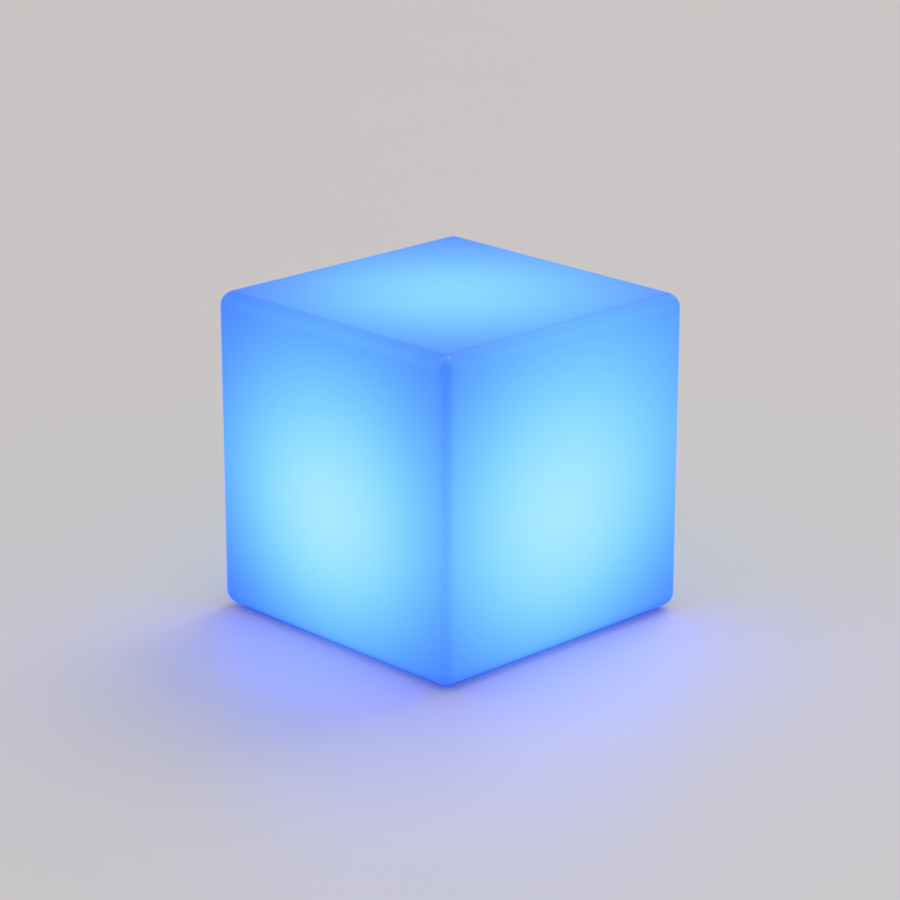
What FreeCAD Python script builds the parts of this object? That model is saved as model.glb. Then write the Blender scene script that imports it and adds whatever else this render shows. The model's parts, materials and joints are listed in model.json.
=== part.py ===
import FreeCAD, Part
import os
import Sketcher

# Every driving size, in millimetres (counts are plain numbers), kept in one sheet under these names.
SIZES = {
    # glowing shell
    "side": 400, "edge_radius": 18, "wall": 4, "foot_standoff": 4, "recess_depth": 18, "recess_gap": 6,
    "insert_boss_radius": 7, "insert_boss_inset": 2, "insert_relief": 1,
    "foot_inset": 45, "foot_radius": 14, "foot_edge": 1, "foot_gap": 1, "foot_pocket_depth": 1.5,
    # module housing: flange below, pan above it, rim on top
    "flange_thickness": 5, "flange_chamfer": 1, "flange_lip": 2, "gasket_thickness": 1.5,
    "gasket_inset": 1, "flange_screw_count": 6,
    "pan_wall": 4, "pan_floor": 3, "opening_gap": 1.5, "rim_thickness": 4,
    "gusset_count": 12, "gusset_width": 2.5, "gusset_reach": 7, "gusset_height": 16,
    "dome_screw_count": 6, "dome_boss_offset": 3.5, "dome_boss_radius": 4, "dome_boss_height": 12,
    "post_gap": 1, "post_radius": 4, "post_web": 3, "post_count": 3,
    # threaded parts
    "insert_radius": 3, "insert_length": 13, "wide_shank": 1.95, "wide_tip_gap": 0.5,
    "wide_head_radius": 3.9, "wide_head_height": 2.4, "counterbore_radius": 4.5, "counterbore_depth": 3,
    "small_shank": 1.45, "small_head_radius": 2.75, "small_head_height": 2, "socket_radius": 1.2,
    "head_edge": 0.6, "thread_fit": 0.05, "screw_clearance": 0.3, "small_grip": 7, "small_pilot": 10,
    # light source
    "plate_margin": 5, "plate_gap": 2, "plate_thickness": 3, "plate_drop": 8, "plate_clearance": 4.4,
    "light_board_margin": 5, "board_thickness": 1.6, "chip_width": 5, "chip_height": 1.6,
    "chip_margin": 4, "inner_chip_circle": 20, "outer_chip_count": 18, "inner_chip_count": 6,
    "lead_hole_y": -34, "lead_hole_radius": 4,
    "receiver_y": 34, "receiver_width": 7, "receiver_depth": 4, "receiver_height": 7,
    "receiver_lens_radius": 2.6,
    # lens dome
    "dome_flange": 2.5, "dome_inset": 1, "dome_height": 20, "dome_wall": 2, "ring_thickness": 2.5,
    "ring_edge": 0.5, "seal_groove_inset": 1.2, "seal_groove_width": 2.6, "seal_groove_depth": 1.7,
    "seal_edge": 0.5, "seal_side_gap": 0.1,
    # batteries and their cradle
    "cell_radius": 9.2, "cell_length": 65, "cell_gap": 0.6, "cell_middle_y": 14, "cell_fit": 0.1,
    "cell_edge": 0.8, "crimp_depth": 0.6, "crimp_place": 4.2,
    "tab_thickness": 0.3, "tab_width": 8, "cradle_floor": 2, "cradle_height": 7, "cradle_edge": 1.8,
    "cradle_end_wall": 3.2, "cradle_end_height": 9, "lug_depth": 6, "lug_half_width": 6, "lug_height": 5,
    "lug_floor": 1, "strap_thickness": 2,
    # control board
    "standoff_radius": 3.5, "standoff_gap": 1.5, "standoff_half_span": 18, "board_edge": 4,
    "board_gap": 1.1, "stem_half_width": 12, "stem_overhang": 6,
    "part_spacing": 20, "part_row": 10, "chip_package": 12, "chip_package_height": 1.6,
    "coil_side": 10, "coil_height": 5, "capacitor_radius": 4, "capacitor_height": 8,
    "status_chip_side": 3, "status_chip_height": 1,
    # controls on the underside
    "control_x": 24, "control_y": -40, "bezel_radius": 8, "bezel_thickness": 1.1, "bezel_edge": 0.4,
    "seal_thickness": 0.5, "switch_radius": 6, "switch_length": 17.5, "switch_bore": 5,
    "switch_mouth": 4.4, "switch_lip": 2.6, "switch_nut_flats": 15, "jack_nut_flats": 14, "nut_height": 3,
    "button_proud": 1.5, "button_edge": 0.5, "button_dish": 0.3, "slide_fit": 0.08,
    "shoulder_height": 1.5, "plunger_radius": 1.5, "plunger_length": 2.6,
    "return_height": 4, "return_foot_radius": 4.7, "return_crown_radius": 3, "return_skin": 0.7,
    "return_ring": 0.8,
    "jack_radius": 5.5, "jack_bore": 3, "jack_depth": 9, "pin_radius": 1.05, "pin_recess": 1.3,
    "pin_root": 3, "pin_edge": 0.4, "seat_fit": 0.05,
    "cover_thickness": 1.45, "cover_radius": 9, "hinge_reach": 12, "hinge_gap": 0.3,
    "cover_neck_half_width": 5, "cover_tab_reach": 12, "cover_tab_half_width": 3,
    "stub_gap": 0.15, "stub_taper": 0.55, "stub_height": 2.1, "stub_bore_gap": 0.4,
    "anchor_length": 9.5, "anchor_stem_radius": 2, "anchor_barb": 1.2, "anchor_barb_height": 1.5,
    "pipe_radius": 2, "pipe_proud": 1, "pipe_edge": 0.8, "pipe_collar": 1.5, "pipe_collar_height": 1.2,
    "vent_x": -46, "vent_y": -16, "vent_radius": 4, "vent_head": 2, "vent_head_height": 1.6,
    "vent_edge": 0.5, "vent_hole": 1.5, "vent_hole_depth": 2.6, "vent_nut_flats": 10,
    "vent_nut_height": 2.5,
    # wiring
    "lead_radius": 1.3, "lead_bend": 6, "lead_height": 2, "lead_swing": 5, "plug_half_width": 3,
    "plug_height": 4, "power_plug_inset": 7, "control_plug_x": 8, "light_plug_y": -24, "tab_solder": 1.3,
}

# Shared dimensions, written as expressions over the sheet. Batteries and what they push outwards:
CELL_PITCH = "(2 * sizes.cell_radius + sizes.cell_gap)"
CRADLE_SIDE = f"({CELL_PITCH} + sizes.cell_radius + sizes.cradle_edge)"
CRADLE_REACH = f"({CRADLE_SIDE} + sizes.lug_depth)"
LUG_MIDDLE = f"({CRADLE_SIDE} + sizes.lug_depth / 2)"
TAB_FACE = "(sizes.cell_length / 2 + sizes.tab_thickness)"
CRADLE_END = f"({TAB_FACE} + sizes.cradle_end_wall)"
CELL_TOP = "(sizes.cradle_floor + 2 * sizes.cell_radius)"
STRAP_TOP = f"({CELL_TOP} + sizes.strap_thickness)"

# Radii, from the middle outwards:
POST_CIRCLE = f"(sizes.cell_middle_y + {CRADLE_REACH} + sizes.post_gap + sizes.post_radius)"
PLATE_RADIUS = f"({POST_CIRCLE} + sizes.plate_margin)"
LIGHT_BOARD_RADIUS = f"({POST_CIRCLE} - sizes.light_board_margin)"
OUTER_CHIP_CIRCLE = f"({LIGHT_BOARD_RADIUS} - sizes.chip_margin)"
PAN_INNER_RADIUS = f"({PLATE_RADIUS} + sizes.plate_gap)"
PAN_RADIUS = f"({PAN_INNER_RADIUS} + sizes.pan_wall)"
DOME_SCREW_CIRCLE = f"({PAN_RADIUS} + sizes.dome_boss_offset)"
RIM_RADIUS = f"({DOME_SCREW_CIRCLE} + sizes.dome_boss_radius)"
OPENING_RADIUS = f"({RIM_RADIUS} + sizes.opening_gap)"
GASKET_INNER = f"({OPENING_RADIUS} + sizes.gasket_inset)"
FLANGE_SCREW_CIRCLE = f"({OPENING_RADIUS} + sizes.insert_boss_inset + sizes.insert_boss_radius)"
GASKET_OUTER = f"(2 * {FLANGE_SCREW_CIRCLE} - {GASKET_INNER})"
FLANGE_RADIUS = f"({GASKET_OUTER} + sizes.flange_lip)"
RECESS_RADIUS = f"({FLANGE_RADIUS} + sizes.recess_gap)"
FOOT_REACH = "(sizes.side / 2 - sizes.foot_inset)"
DOME_BASE = f"({PAN_INNER_RADIUS} - sizes.dome_inset)"
DOME_SPHERE = f"(({DOME_BASE} ^ 2 + sizes.dome_height ^ 2) / (2 * sizes.dome_height))"
SEAL_INNER = f"({PAN_INNER_RADIUS} + sizes.seal_groove_inset)"
SEAL_OUTER = f"({SEAL_INNER} + sizes.seal_groove_width)"

# Heights: above the pan's floor, above the housing's base, then above the ground.
BOARD_RISE = f"({STRAP_TOP} + sizes.small_head_height + sizes.board_gap)"
MODULE_HEIGHT = (f"(sizes.pan_floor + {BOARD_RISE} + sizes.board_thickness + sizes.capacitor_height"
                 " + sizes.plate_clearance + sizes.plate_drop)")
RECESS_FLOOR = "(sizes.foot_standoff + sizes.recess_depth)"
HOUSING_BASE = f"({RECESS_FLOOR} - sizes.gasket_thickness - sizes.flange_thickness)"
PAN_INSIDE = f"({HOUSING_BASE} + sizes.pan_floor)"
RIM_TOP = f"({HOUSING_BASE} + {MODULE_HEIGHT})"
PLATE_SEAT = f"({RIM_TOP} - sizes.plate_drop)"
LIGHT_BOARD_SEAT = f"({PLATE_SEAT} + sizes.plate_thickness)"
LIGHT_BOARD_TOP = f"({LIGHT_BOARD_SEAT} + sizes.board_thickness)"
RING_SEAT = f"({RIM_TOP} + sizes.dome_flange)"
BOARD_SEAT = f"({PAN_INSIDE} + {BOARD_RISE})"
BOARD_TOP = f"({BOARD_SEAT} + sizes.board_thickness)"
CELL_AXIS = f"({PAN_INSIDE} + sizes.cradle_floor + sizes.cell_radius)"
INSERT_HOLE = "(sizes.insert_length + sizes.insert_relief)"
WIDE_LENGTH = ("(sizes.flange_thickness - sizes.counterbore_depth + sizes.gasket_thickness"
               " + sizes.insert_length - sizes.wide_tip_gap)")

# Control board's outline and standoffs:
STANDOFF_X = f"({CRADLE_END} + sizes.standoff_gap + sizes.standoff_radius)"
STANDOFF_FRONT = "(sizes.cell_middle_y - sizes.standoff_half_span)"
STANDOFF_BACK = "(sizes.cell_middle_y + sizes.standoff_half_span)"
BOARD_HALF_WIDTH = f"({STANDOFF_X} + sizes.board_edge)"
POWER_PLUG_X = f"({BOARD_HALF_WIDTH} - sizes.power_plug_inset)"

# Controls, measured from the housing's base:
BEZEL_FACE = "(-sizes.seal_thickness - sizes.bezel_thickness)"
SHOULDER_SEAT = f"({BEZEL_FACE} + sizes.switch_lip + sizes.seat_fit)"
SHOULDER_TOP = f"({SHOULDER_SEAT} + sizes.shoulder_height)"
CHAMBER_TOP = f"({SHOULDER_TOP} + sizes.return_height)"
COVER_TOP = f"({BEZEL_FACE} - sizes.seat_fit)"
COVER_FACE = f"({COVER_TOP} - sizes.cover_thickness)"

doc = FreeCAD.newDocument("cube_light")
sheet = doc.addObject("Spreadsheet::Sheet", "sizes")
for row, (alias, number) in enumerate(SIZES.items(), start=1):
    sheet.set(f"A{row}", alias)
    sheet.set(f"B{row}", str(number))
    sheet.setAlias(f"B{row}", alias)
doc.recompute()

SUB_PARTS = []


# ---- tools that bind every dimension to the sheet ----

def value(expression):
    """Present value of an expression over the sheet."""
    return float(sheet.evalExpression(str(expression)))


def bind(thing, **expressions):
    """Bind properties of one object; two underscores stand for a dot in the property's path."""
    for path, expression in expressions.items():
        thing.setExpression(path.replace("__", "."), str(expression))


def new_part(name, x="0", y="0", z="0"):
    """Empty body for one sub-part, placed at its own seat."""
    body = doc.addObject("PartDesign::Body", name)
    body.Label = name
    bind(body, Placement__Base__x=x, Placement__Base__y=y, Placement__Base__z=z)
    SUB_PARTS.append(body)
    return body


def datum(body, role):
    """Origin plane or axis of a body."""
    return next(item for item in body.Origin.OriginFeatures if item.Role == role)


def new_sketch(body, role, offset="0"):
    """Sketch on an origin plane of the body, moved along the plane's normal."""
    sketch = body.newObject("Sketcher::SketchObject", "outline")
    sketch.AttachmentSupport = [(datum(body, role), "")]
    sketch.MapMode = "FlatFace"
    bind(sketch, AttachmentOffset__Base__z=offset)
    return sketch


def pin_point(sketch, geometry, end, x, y):
    """Fix one point of a sketch by two bound distances from the origin."""
    for kind, expression in (("DistanceX", x), ("DistanceY", y)):
        index = sketch.addConstraint(
            Sketcher.Constraint(kind, -1, 1, geometry, end, value(expression)))
        sketch.setExpression(f"Constraints[{index}]", str(expression))


def add_radius(sketch, geometry, radius):
    """Bind the radius of a circle or an arc."""
    index = sketch.addConstraint(Sketcher.Constraint("Radius", geometry, value(radius)))
    sketch.setExpression(f"Constraints[{index}]", str(radius))


def draw_polygon(sketch, points):
    """Closed outline through points given as pairs of expressions."""
    count = len(points)
    start = sketch.GeometryCount
    spots = [FreeCAD.Vector(value(x), value(y), 0) for x, y in points]
    for index in range(count):
        sketch.addGeometry(Part.LineSegment(spots[index], spots[(index + 1) % count]))
    for index, (x, y) in enumerate(points):
        following = start + (index + 1) % count
        sketch.addConstraint(Sketcher.Constraint("Coincident", start + index, 2, following, 1))
        pin_point(sketch, start + index, 1, x, y)


def draw_circle(sketch, x, y, radius):
    """Circle with its middle and radius bound."""
    middle = FreeCAD.Vector(value(x), value(y), 0)
    circle = sketch.addGeometry(Part.Circle(middle, FreeCAD.Vector(0, 0, 1), value(radius)))
    pin_point(sketch, circle, 3, x, y)
    add_radius(sketch, circle, radius)


def turn(body, points, cut=False, axis="V_Axis"):
    """Turned form about the body's own axis from an outline of (radius, height) pairs."""
    sketch = new_sketch(body, "XZ_Plane")
    draw_polygon(sketch, points)
    kind = "PartDesign::Groove" if cut else "PartDesign::Revolution"
    feature = body.newObject(kind, "groove" if cut else "turned")
    feature.Profile = sketch
    feature.ReferenceAxis = (sketch, [axis])
    feature.Angle = 360
    return feature


def prism(body, points, bottom, height, cut=False):
    """Straight form raised on an outline, added or cut away."""
    sketch = new_sketch(body, "XY_Plane", bottom)
    draw_polygon(sketch, points)
    return raise_sketch(body, sketch, height, cut)


def raise_sketch(body, sketch, height, cut=False):
    """Pad or pocket upwards from a sketch that lies level."""
    feature = body.newObject("PartDesign::Pocket" if cut else "PartDesign::Pad", "raised")
    feature.Profile = sketch
    feature.Reversed = cut
    bind(feature, Length=height)
    return feature


def rod(body, x, y, bottom, height, radius, cut=False):
    """Upright cylinder, added or cut away."""
    sketch = new_sketch(body, "XY_Plane", bottom)
    draw_circle(sketch, x, y, radius)
    return raise_sketch(body, sketch, height, cut)


def box(body, x_range, y_range, z_range, cut=False):
    """Block between three pairs of limits, added or cut away."""
    (west, east), (south, north), (low, high) = x_range, y_range, z_range
    corners = [(west, south), (east, south), (east, north), (west, north)]
    return prism(body, corners, low, f"({high}) - ({low})", cut)


def ring_of(body, feature, count):
    """Repeat one feature evenly about the body's upright axis."""
    pattern = body.newObject("PartDesign::PolarPattern", "ring")
    pattern.Originals = [feature]
    pattern.Axis = (datum(body, "Z_Axis"), [""])
    pattern.Angle = 360
    bind(pattern, Occurrences=count)
    body.Tip = pattern
    return pattern


def around(middle, half):
    """Pair of limits either side of a middle."""
    return f"{middle} - {half}", f"{middle} + {half}"


# ---- glowing shell ----

def make_rounded_cube(body, side, radius, bottom):
    """Cube with every edge rounded, centred over the body's origin."""
    half = f"{side} / 2"
    block = box(body, around("0", half), around("0", half), (bottom, f"{bottom} + {side}"))
    rounding = body.newObject("PartDesign::Fillet", "rounding")
    rounding.Base = (block, [f"Edge{number}" for number in range(1, 13)])
    bind(rounding, Radius=radius)
    body.Tip = rounding


def make_shell():
    """Rounded hollow cube with a stepped underside, six insert bosses and four foot pockets."""
    body = new_part("diffuser_shell", z="sizes.foot_standoff")
    make_rounded_cube(body, "sizes.side", "sizes.edge_radius", "0")
    rod(body, "0", "0", "0", "sizes.recess_depth", RECESS_RADIUS, cut=True)

    cavity = doc.addObject("PartDesign::Body", "shell_cavity")
    inner_side = "(sizes.side - 2 * sizes.wall)"
    make_rounded_cube(cavity, inner_side, "sizes.edge_radius - sizes.wall", "sizes.wall")
    rod(cavity, "0", "0", "0", "sizes.recess_depth + sizes.wall",
        f"{RECESS_RADIUS} + sizes.wall", cut=True)
    boss = rod(cavity, FLANGE_SCREW_CIRCLE, "0", "0",
               f"sizes.recess_depth + {INSERT_HOLE} + sizes.wall", "sizes.insert_boss_radius", cut=True)
    ring_of(cavity, boss, "sizes.flange_screw_count")

    hollow = body.newObject("PartDesign::Boolean", "hollow")
    hollow.Type = "Cut"
    hollow.setObjects([cavity])
    body.Tip = hollow
    rod(body, "0", "0", "sizes.recess_depth", "sizes.wall", OPENING_RADIUS, cut=True)
    bore = rod(body, FLANGE_SCREW_CIRCLE, "0", "sizes.recess_depth",
               INSERT_HOLE, "sizes.insert_radius", cut=True)
    ring_of(body, bore, "sizes.flange_screw_count")
    pocket = rod(body, FOOT_REACH, FOOT_REACH, "0",
                 "sizes.foot_pocket_depth", "sizes.foot_radius + sizes.foot_gap", cut=True)
    ring_of(body, pocket, "4")


def make_foot(name, side_x, side_y):
    """Round rubber foot seated in its pocket under one corner."""
    body = new_part(name, f"{side_x} * {FOOT_REACH}", f"{side_y} * {FOOT_REACH}")
    top = "sizes.foot_standoff + sizes.foot_pocket_depth"
    radius, edge = "sizes.foot_radius", "sizes.foot_edge"
    turn(body, [("0", "0"), (f"{radius} - {edge}", "0"), (radius, edge), (radius, top), ("0", top)])


def make_inserts():
    """Brass threaded inserts in the shell's bosses."""
    body = new_part("threaded_inserts", z=RECESS_FLOOR)
    sleeve = new_sketch(body, "XY_Plane")
    draw_circle(sleeve, FLANGE_SCREW_CIRCLE, "0", "sizes.insert_radius")
    draw_circle(sleeve, FLANGE_SCREW_CIRCLE, "0", "sizes.wide_shank + sizes.thread_fit")
    ring_of(body, raise_sketch(body, sleeve, "sizes.insert_length"), "sizes.flange_screw_count")


# ---- module housing and what fastens it ----

def make_housing():
    """Flanged pan with a rim, gussets, bosses, standoffs and the holes for the controls."""
    body = new_part("module_housing", z=HOUSING_BASE)
    rim_bottom = f"({MODULE_HEIGHT} - sizes.rim_thickness)"
    turn(body, [
        ("0", "0"), (f"{FLANGE_RADIUS} - sizes.flange_chamfer", "0"),
        (FLANGE_RADIUS, "sizes.flange_chamfer"), (FLANGE_RADIUS, "sizes.flange_thickness"),
        (PAN_RADIUS, "sizes.flange_thickness"), (PAN_RADIUS, rim_bottom), (RIM_RADIUS, rim_bottom),
        (RIM_RADIUS, MODULE_HEIGHT), (PAN_INNER_RADIUS, MODULE_HEIGHT),
        (PAN_INNER_RADIUS, "sizes.pan_floor"), ("0", "sizes.pan_floor")])
    add_gussets(body)
    add_rim(body, rim_bottom)
    add_flange_holes(body)
    add_plate_posts(body)
    add_standoffs(body)
    add_control_holes(body)


def add_gussets(body):
    """Triangular webs that brace the pan's wall on the flange."""
    sketch = new_sketch(body, "XZ_Plane")
    foot = "sizes.flange_thickness"
    draw_polygon(sketch, [(f"{PAN_RADIUS} - sizes.pan_wall / 2", foot),
                          (f"{PAN_RADIUS} + sizes.gusset_reach", foot),
                          (f"{PAN_RADIUS} - sizes.pan_wall / 2", f"{foot} + sizes.gusset_height")])
    gusset = body.newObject("PartDesign::Pad", "gusset")
    gusset.Profile = sketch
    gusset.Midplane = True
    bind(gusset, Length="sizes.gusset_width")
    ring_of(body, gusset, "sizes.gusset_count")


def add_rim(body, rim_bottom):
    """Screw bosses under the rim, their holes, and the groove for the ring seal."""
    boss = rod(body, DOME_SCREW_CIRCLE, "0", f"{rim_bottom} - sizes.dome_boss_height",
               "sizes.dome_boss_height", "sizes.dome_boss_radius")
    ring_of(body, boss, "sizes.dome_screw_count")
    groove_floor = f"{MODULE_HEIGHT} - sizes.seal_groove_depth"
    turn(body, [(SEAL_INNER, groove_floor), (SEAL_OUTER, groove_floor),
                (SEAL_OUTER, MODULE_HEIGHT), (SEAL_INNER, MODULE_HEIGHT)], cut=True)
    depth = "sizes.small_pilot"
    pilot = rod(body, DOME_SCREW_CIRCLE, "0", f"{MODULE_HEIGHT} - {depth}", depth,
                "sizes.small_shank + sizes.thread_fit", cut=True)
    ring_of(body, pilot, "sizes.dome_screw_count")


def add_flange_holes(body):
    """Clearance holes and counterbores of the flange screws."""
    hole = rod(body, FLANGE_SCREW_CIRCLE, "0", "0", "sizes.flange_thickness",
               "sizes.wide_shank + sizes.screw_clearance", cut=True)
    ring_of(body, hole, "sizes.flange_screw_count")
    counterbore = rod(body, FLANGE_SCREW_CIRCLE, "0", "0", "sizes.counterbore_depth",
                      "sizes.counterbore_radius", cut=True)
    ring_of(body, counterbore, "sizes.flange_screw_count")


def add_plate_posts(body):
    """Three posts for the light plate, each joined to the pan's wall by a web."""
    seat = f"({MODULE_HEIGHT} - sizes.plate_drop)"
    post = rod(body, "0", POST_CIRCLE, "sizes.pan_floor", f"{seat} - sizes.pan_floor",
               "sizes.post_radius")
    ring_of(body, post, "sizes.post_count")
    web = box(body, around("0", "sizes.post_web / 2"),
              (POST_CIRCLE, f"{PAN_INNER_RADIUS} + sizes.pan_wall / 2"), ("sizes.pan_floor", seat))
    ring_of(body, web, "sizes.post_count")
    depth = "sizes.small_pilot"
    tapped = rod(body, "0", POST_CIRCLE, f"{seat} - {depth}", depth,
                 "sizes.small_shank + sizes.thread_fit", cut=True)
    ring_of(body, tapped, "sizes.post_count")


def standoff_places():
    """The four points where the control board is screwed down."""
    return [(x, y) for x in (f"-{STANDOFF_X}", STANDOFF_X) for y in (STANDOFF_FRONT, STANDOFF_BACK)]


def add_standoffs(body):
    """Posts under the control board with holes for its screws."""
    depth = "sizes.small_pilot"
    for x, y in standoff_places():
        rod(body, x, y, "sizes.pan_floor", BOARD_RISE, "sizes.standoff_radius")
        rod(body, x, y, f"sizes.pan_floor + {BOARD_RISE} - {depth}", depth,
            "sizes.small_shank + sizes.thread_fit", cut=True)


def add_control_holes(body):
    """Holes in the pan's floor for the switch, the socket, the light pipe, the anchor and the vent."""
    for x, y, radius in (
            ("-sizes.control_x", "sizes.control_y", "sizes.switch_radius + sizes.seat_fit"),
            ("sizes.control_x", "sizes.control_y", "sizes.jack_radius + sizes.seat_fit"),
            ("0", "sizes.control_y", "sizes.pipe_radius + sizes.seat_fit"),
            ("sizes.control_x", "sizes.control_y + sizes.hinge_reach + sizes.anchor_length / 2",
             "sizes.anchor_stem_radius"),
            ("sizes.vent_x", "sizes.vent_y", "sizes.vent_radius + sizes.seat_fit")):
        rod(body, x, y, "0", "sizes.pan_floor", radius, cut=True)


def make_gasket():
    """Flat gasket between the flange and the recess floor."""
    body = new_part("flange_gasket", z=f"{RECESS_FLOOR} - sizes.gasket_thickness")
    turn(body, [(GASKET_INNER, "0"), (GASKET_OUTER, "0"),
                (GASKET_OUTER, "sizes.gasket_thickness"),
                (GASKET_INNER, "sizes.gasket_thickness")])
    hole = rod(body, FLANGE_SCREW_CIRCLE, "0", "0", "sizes.gasket_thickness",
               "sizes.wide_shank + sizes.screw_clearance", cut=True)
    ring_of(body, hole, "sizes.flange_screw_count")


def make_screw_ring(name, seat, circle, count, size, length, turned=0, upward=False):
    """Ring of socket-head screws in one turned profile; upward ones have their heads below the seat."""
    body = new_part(name, z=seat)
    body.Placement.Rotation = FreeCAD.Rotation(FreeCAD.Vector(0, 0, 1), turned)
    way = "1" if upward else "-1"
    head_height = f"sizes.{size}_head_height"
    head_radius = f"sizes.{size}_head_radius"
    shank = f"sizes.{size}_shank"
    tip, face, socket = f"{way} * {length}", f"-{way} * {head_height}", f"-{way} * {head_height} / 2"
    sketch = new_sketch(body, "XZ_Plane")
    draw_polygon(sketch, [
        (circle, tip), (f"{circle} + {shank}", tip), (f"{circle} + {shank}", "0"),
        (f"{circle} + {head_radius}", "0"), (f"{circle} + {head_radius}", socket),
        (f"{circle} + {head_radius} - sizes.head_edge", face),
        (f"{circle} + sizes.socket_radius", face), (f"{circle} + sizes.socket_radius", socket),
        (circle, socket)])
    screw = body.newObject("PartDesign::Revolution", "turned")
    screw.Profile = sketch
    screw.ReferenceAxis = (sketch, ["Edge9"])
    screw.Angle = 360
    ring_of(body, screw, count)


# ---- light source ----

def make_light_plate():
    """Aluminium plate that carries the light board and spreads its heat."""
    body = new_part("led_plate", z=PLATE_SEAT)
    rod(body, "0", "0", "0", "sizes.plate_thickness", PLATE_RADIUS)
    hole = rod(body, "0", POST_CIRCLE, "0", "sizes.plate_thickness",
               "sizes.small_shank + sizes.screw_clearance", cut=True)
    ring_of(body, hole, "sizes.post_count")
    rod(body, "0", "sizes.lead_hole_y", "0", "sizes.plate_thickness", "sizes.lead_hole_radius", cut=True)


def make_light_board():
    """Round circuit board under the lens dome."""
    body = new_part("led_board", z=LIGHT_BOARD_SEAT)
    rod(body, "0", "0", "0", "sizes.board_thickness", LIGHT_BOARD_RADIUS)
    rod(body, "0", "sizes.lead_hole_y", "0", "sizes.board_thickness", "sizes.lead_hole_radius", cut=True)


def make_light_chips():
    """Two rings of square light-emitting chips."""
    body = new_part("led_chips", z=LIGHT_BOARD_TOP)
    half = "sizes.chip_width / 2"
    for circle, count in ((OUTER_CHIP_CIRCLE, "sizes.outer_chip_count"),
                          ("sizes.inner_chip_circle", "sizes.inner_chip_count")):
        chip = box(body, around(circle, half), around("0", half), ("0", "sizes.chip_height"))
        ring_of(body, chip, count)


def make_receiver():
    """Remote-control receiver standing on the light board, its round lens facing up."""
    body = new_part("ir_receiver", y="sizes.receiver_y", z=LIGHT_BOARD_TOP)
    box(body, around("0", "sizes.receiver_width / 2"), around("0", "sizes.receiver_depth / 2"),
        ("0", "sizes.receiver_height"))
    rod(body, "0", "-sizes.receiver_depth / 4", "0", "sizes.receiver_height - 1",
        "sizes.receiver_lens_radius")


def make_dome_seal():
    """Ring seal, squeezed flat in the rim's groove."""
    body = new_part("dome_seal", z=f"{RIM_TOP} - sizes.seal_groove_depth")
    top, edge = "sizes.seal_groove_depth", "sizes.seal_edge"
    inner, outer = f"{SEAL_INNER} + sizes.seal_side_gap", f"{SEAL_OUTER} - sizes.seal_side_gap"
    turn(body, [
        (f"{inner} + {edge}", "0"), (f"{outer} - {edge}", "0"), (outer, edge),
        (outer, f"{top} - {edge}"), (f"{outer} - {edge}", top), (f"{inner} + {edge}", top),
        (inner, f"{top} - {edge}"), (inner, edge)])


def make_dome():
    """Shallow clear dome with a flat screwed flange."""
    body = new_part("lens_dome", z=RIM_TOP)
    base, flange = DOME_BASE, "sizes.dome_flange"
    inner_sphere = f"({DOME_SPHERE} - sizes.dome_wall)"
    middle_height = f"({flange} + sizes.dome_height - {DOME_SPHERE})"
    inner_base = f"sqrt({inner_sphere} ^ 2 - (({flange} - {middle_height}) ^ 2))"
    sketch = new_sketch(body, "XZ_Plane")
    top = value(f"{flange} + sizes.dome_height")
    thin, low = value("sizes.dome_wall"), value(flange)
    middle = FreeCAD.Vector(0, value(middle_height), 0)
    outer_foot = FreeCAD.Vector(value(base), low, 0)
    inner_foot = FreeCAD.Vector(value(inner_base), low, 0)
    crown, ceiling = FreeCAD.Vector(0, top, 0), FreeCAD.Vector(0, top - thin, 0)
    upright = FreeCAD.Vector(0, 0, 1)

    def arc(foot, peak, radius):
        circle = Part.Circle(middle, upright, radius)
        return Part.ArcOfCircle(circle, circle.parameter(foot), circle.parameter(peak))

    outer = sketch.addGeometry(arc(outer_foot, crown, value(DOME_SPHERE)))
    axis_line = sketch.addGeometry(Part.LineSegment(crown, ceiling))
    inner = sketch.addGeometry(arc(inner_foot, ceiling, value(inner_sphere)))
    foot_line = sketch.addGeometry(Part.LineSegment(inner_foot, outer_foot))
    for pair in ((outer, 2, axis_line, 1), (axis_line, 2, inner, 2),
                 (inner, 1, foot_line, 1), (foot_line, 2, outer, 1), (outer, 3, inner, 3)):
        sketch.addConstraint(Sketcher.Constraint("Coincident", *pair))
    pin_point(sketch, outer, 3, "0", middle_height)
    add_radius(sketch, outer, DOME_SPHERE)
    add_radius(sketch, inner, inner_sphere)
    sketch.addConstraint(Sketcher.Constraint("PointOnObject", axis_line, 1, -2))
    sketch.addConstraint(Sketcher.Constraint("PointOnObject", axis_line, 2, -2))
    for end in (1, 2):
        index = sketch.addConstraint(Sketcher.Constraint("DistanceY", -1, 1, foot_line, end, low))
        sketch.setExpression(f"Constraints[{index}]", flange)
    cap = body.newObject("PartDesign::Revolution", "cap")
    cap.Profile = sketch
    cap.ReferenceAxis = (sketch, ["V_Axis"])
    cap.Angle = 360
    turn(body, [(inner_base, "0"), (RIM_RADIUS, "0"), (RIM_RADIUS, flange),
                (inner_base, flange)])
    hole = rod(body, DOME_SCREW_CIRCLE, "0", "0", flange,
               "sizes.small_shank + sizes.screw_clearance", cut=True)
    ring_of(body, hole, "sizes.dome_screw_count")


def make_dome_ring():
    """Clamping ring over the dome's flange."""
    body = new_part("dome_ring", z=RING_SEAT)
    top, edge = "sizes.ring_thickness", "sizes.ring_edge"
    turn(body, [(PAN_INNER_RADIUS, "0"), (RIM_RADIUS, "0"), (RIM_RADIUS, f"{top} - {edge}"),
                (f"{RIM_RADIUS} - {edge}", top), (PAN_INNER_RADIUS, top)])
    hole = rod(body, DOME_SCREW_CIRCLE, "0", "0", top,
               "sizes.small_shank + sizes.screw_clearance", cut=True)
    ring_of(body, hole, "sizes.dome_screw_count")


# ---- batteries ----

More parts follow.
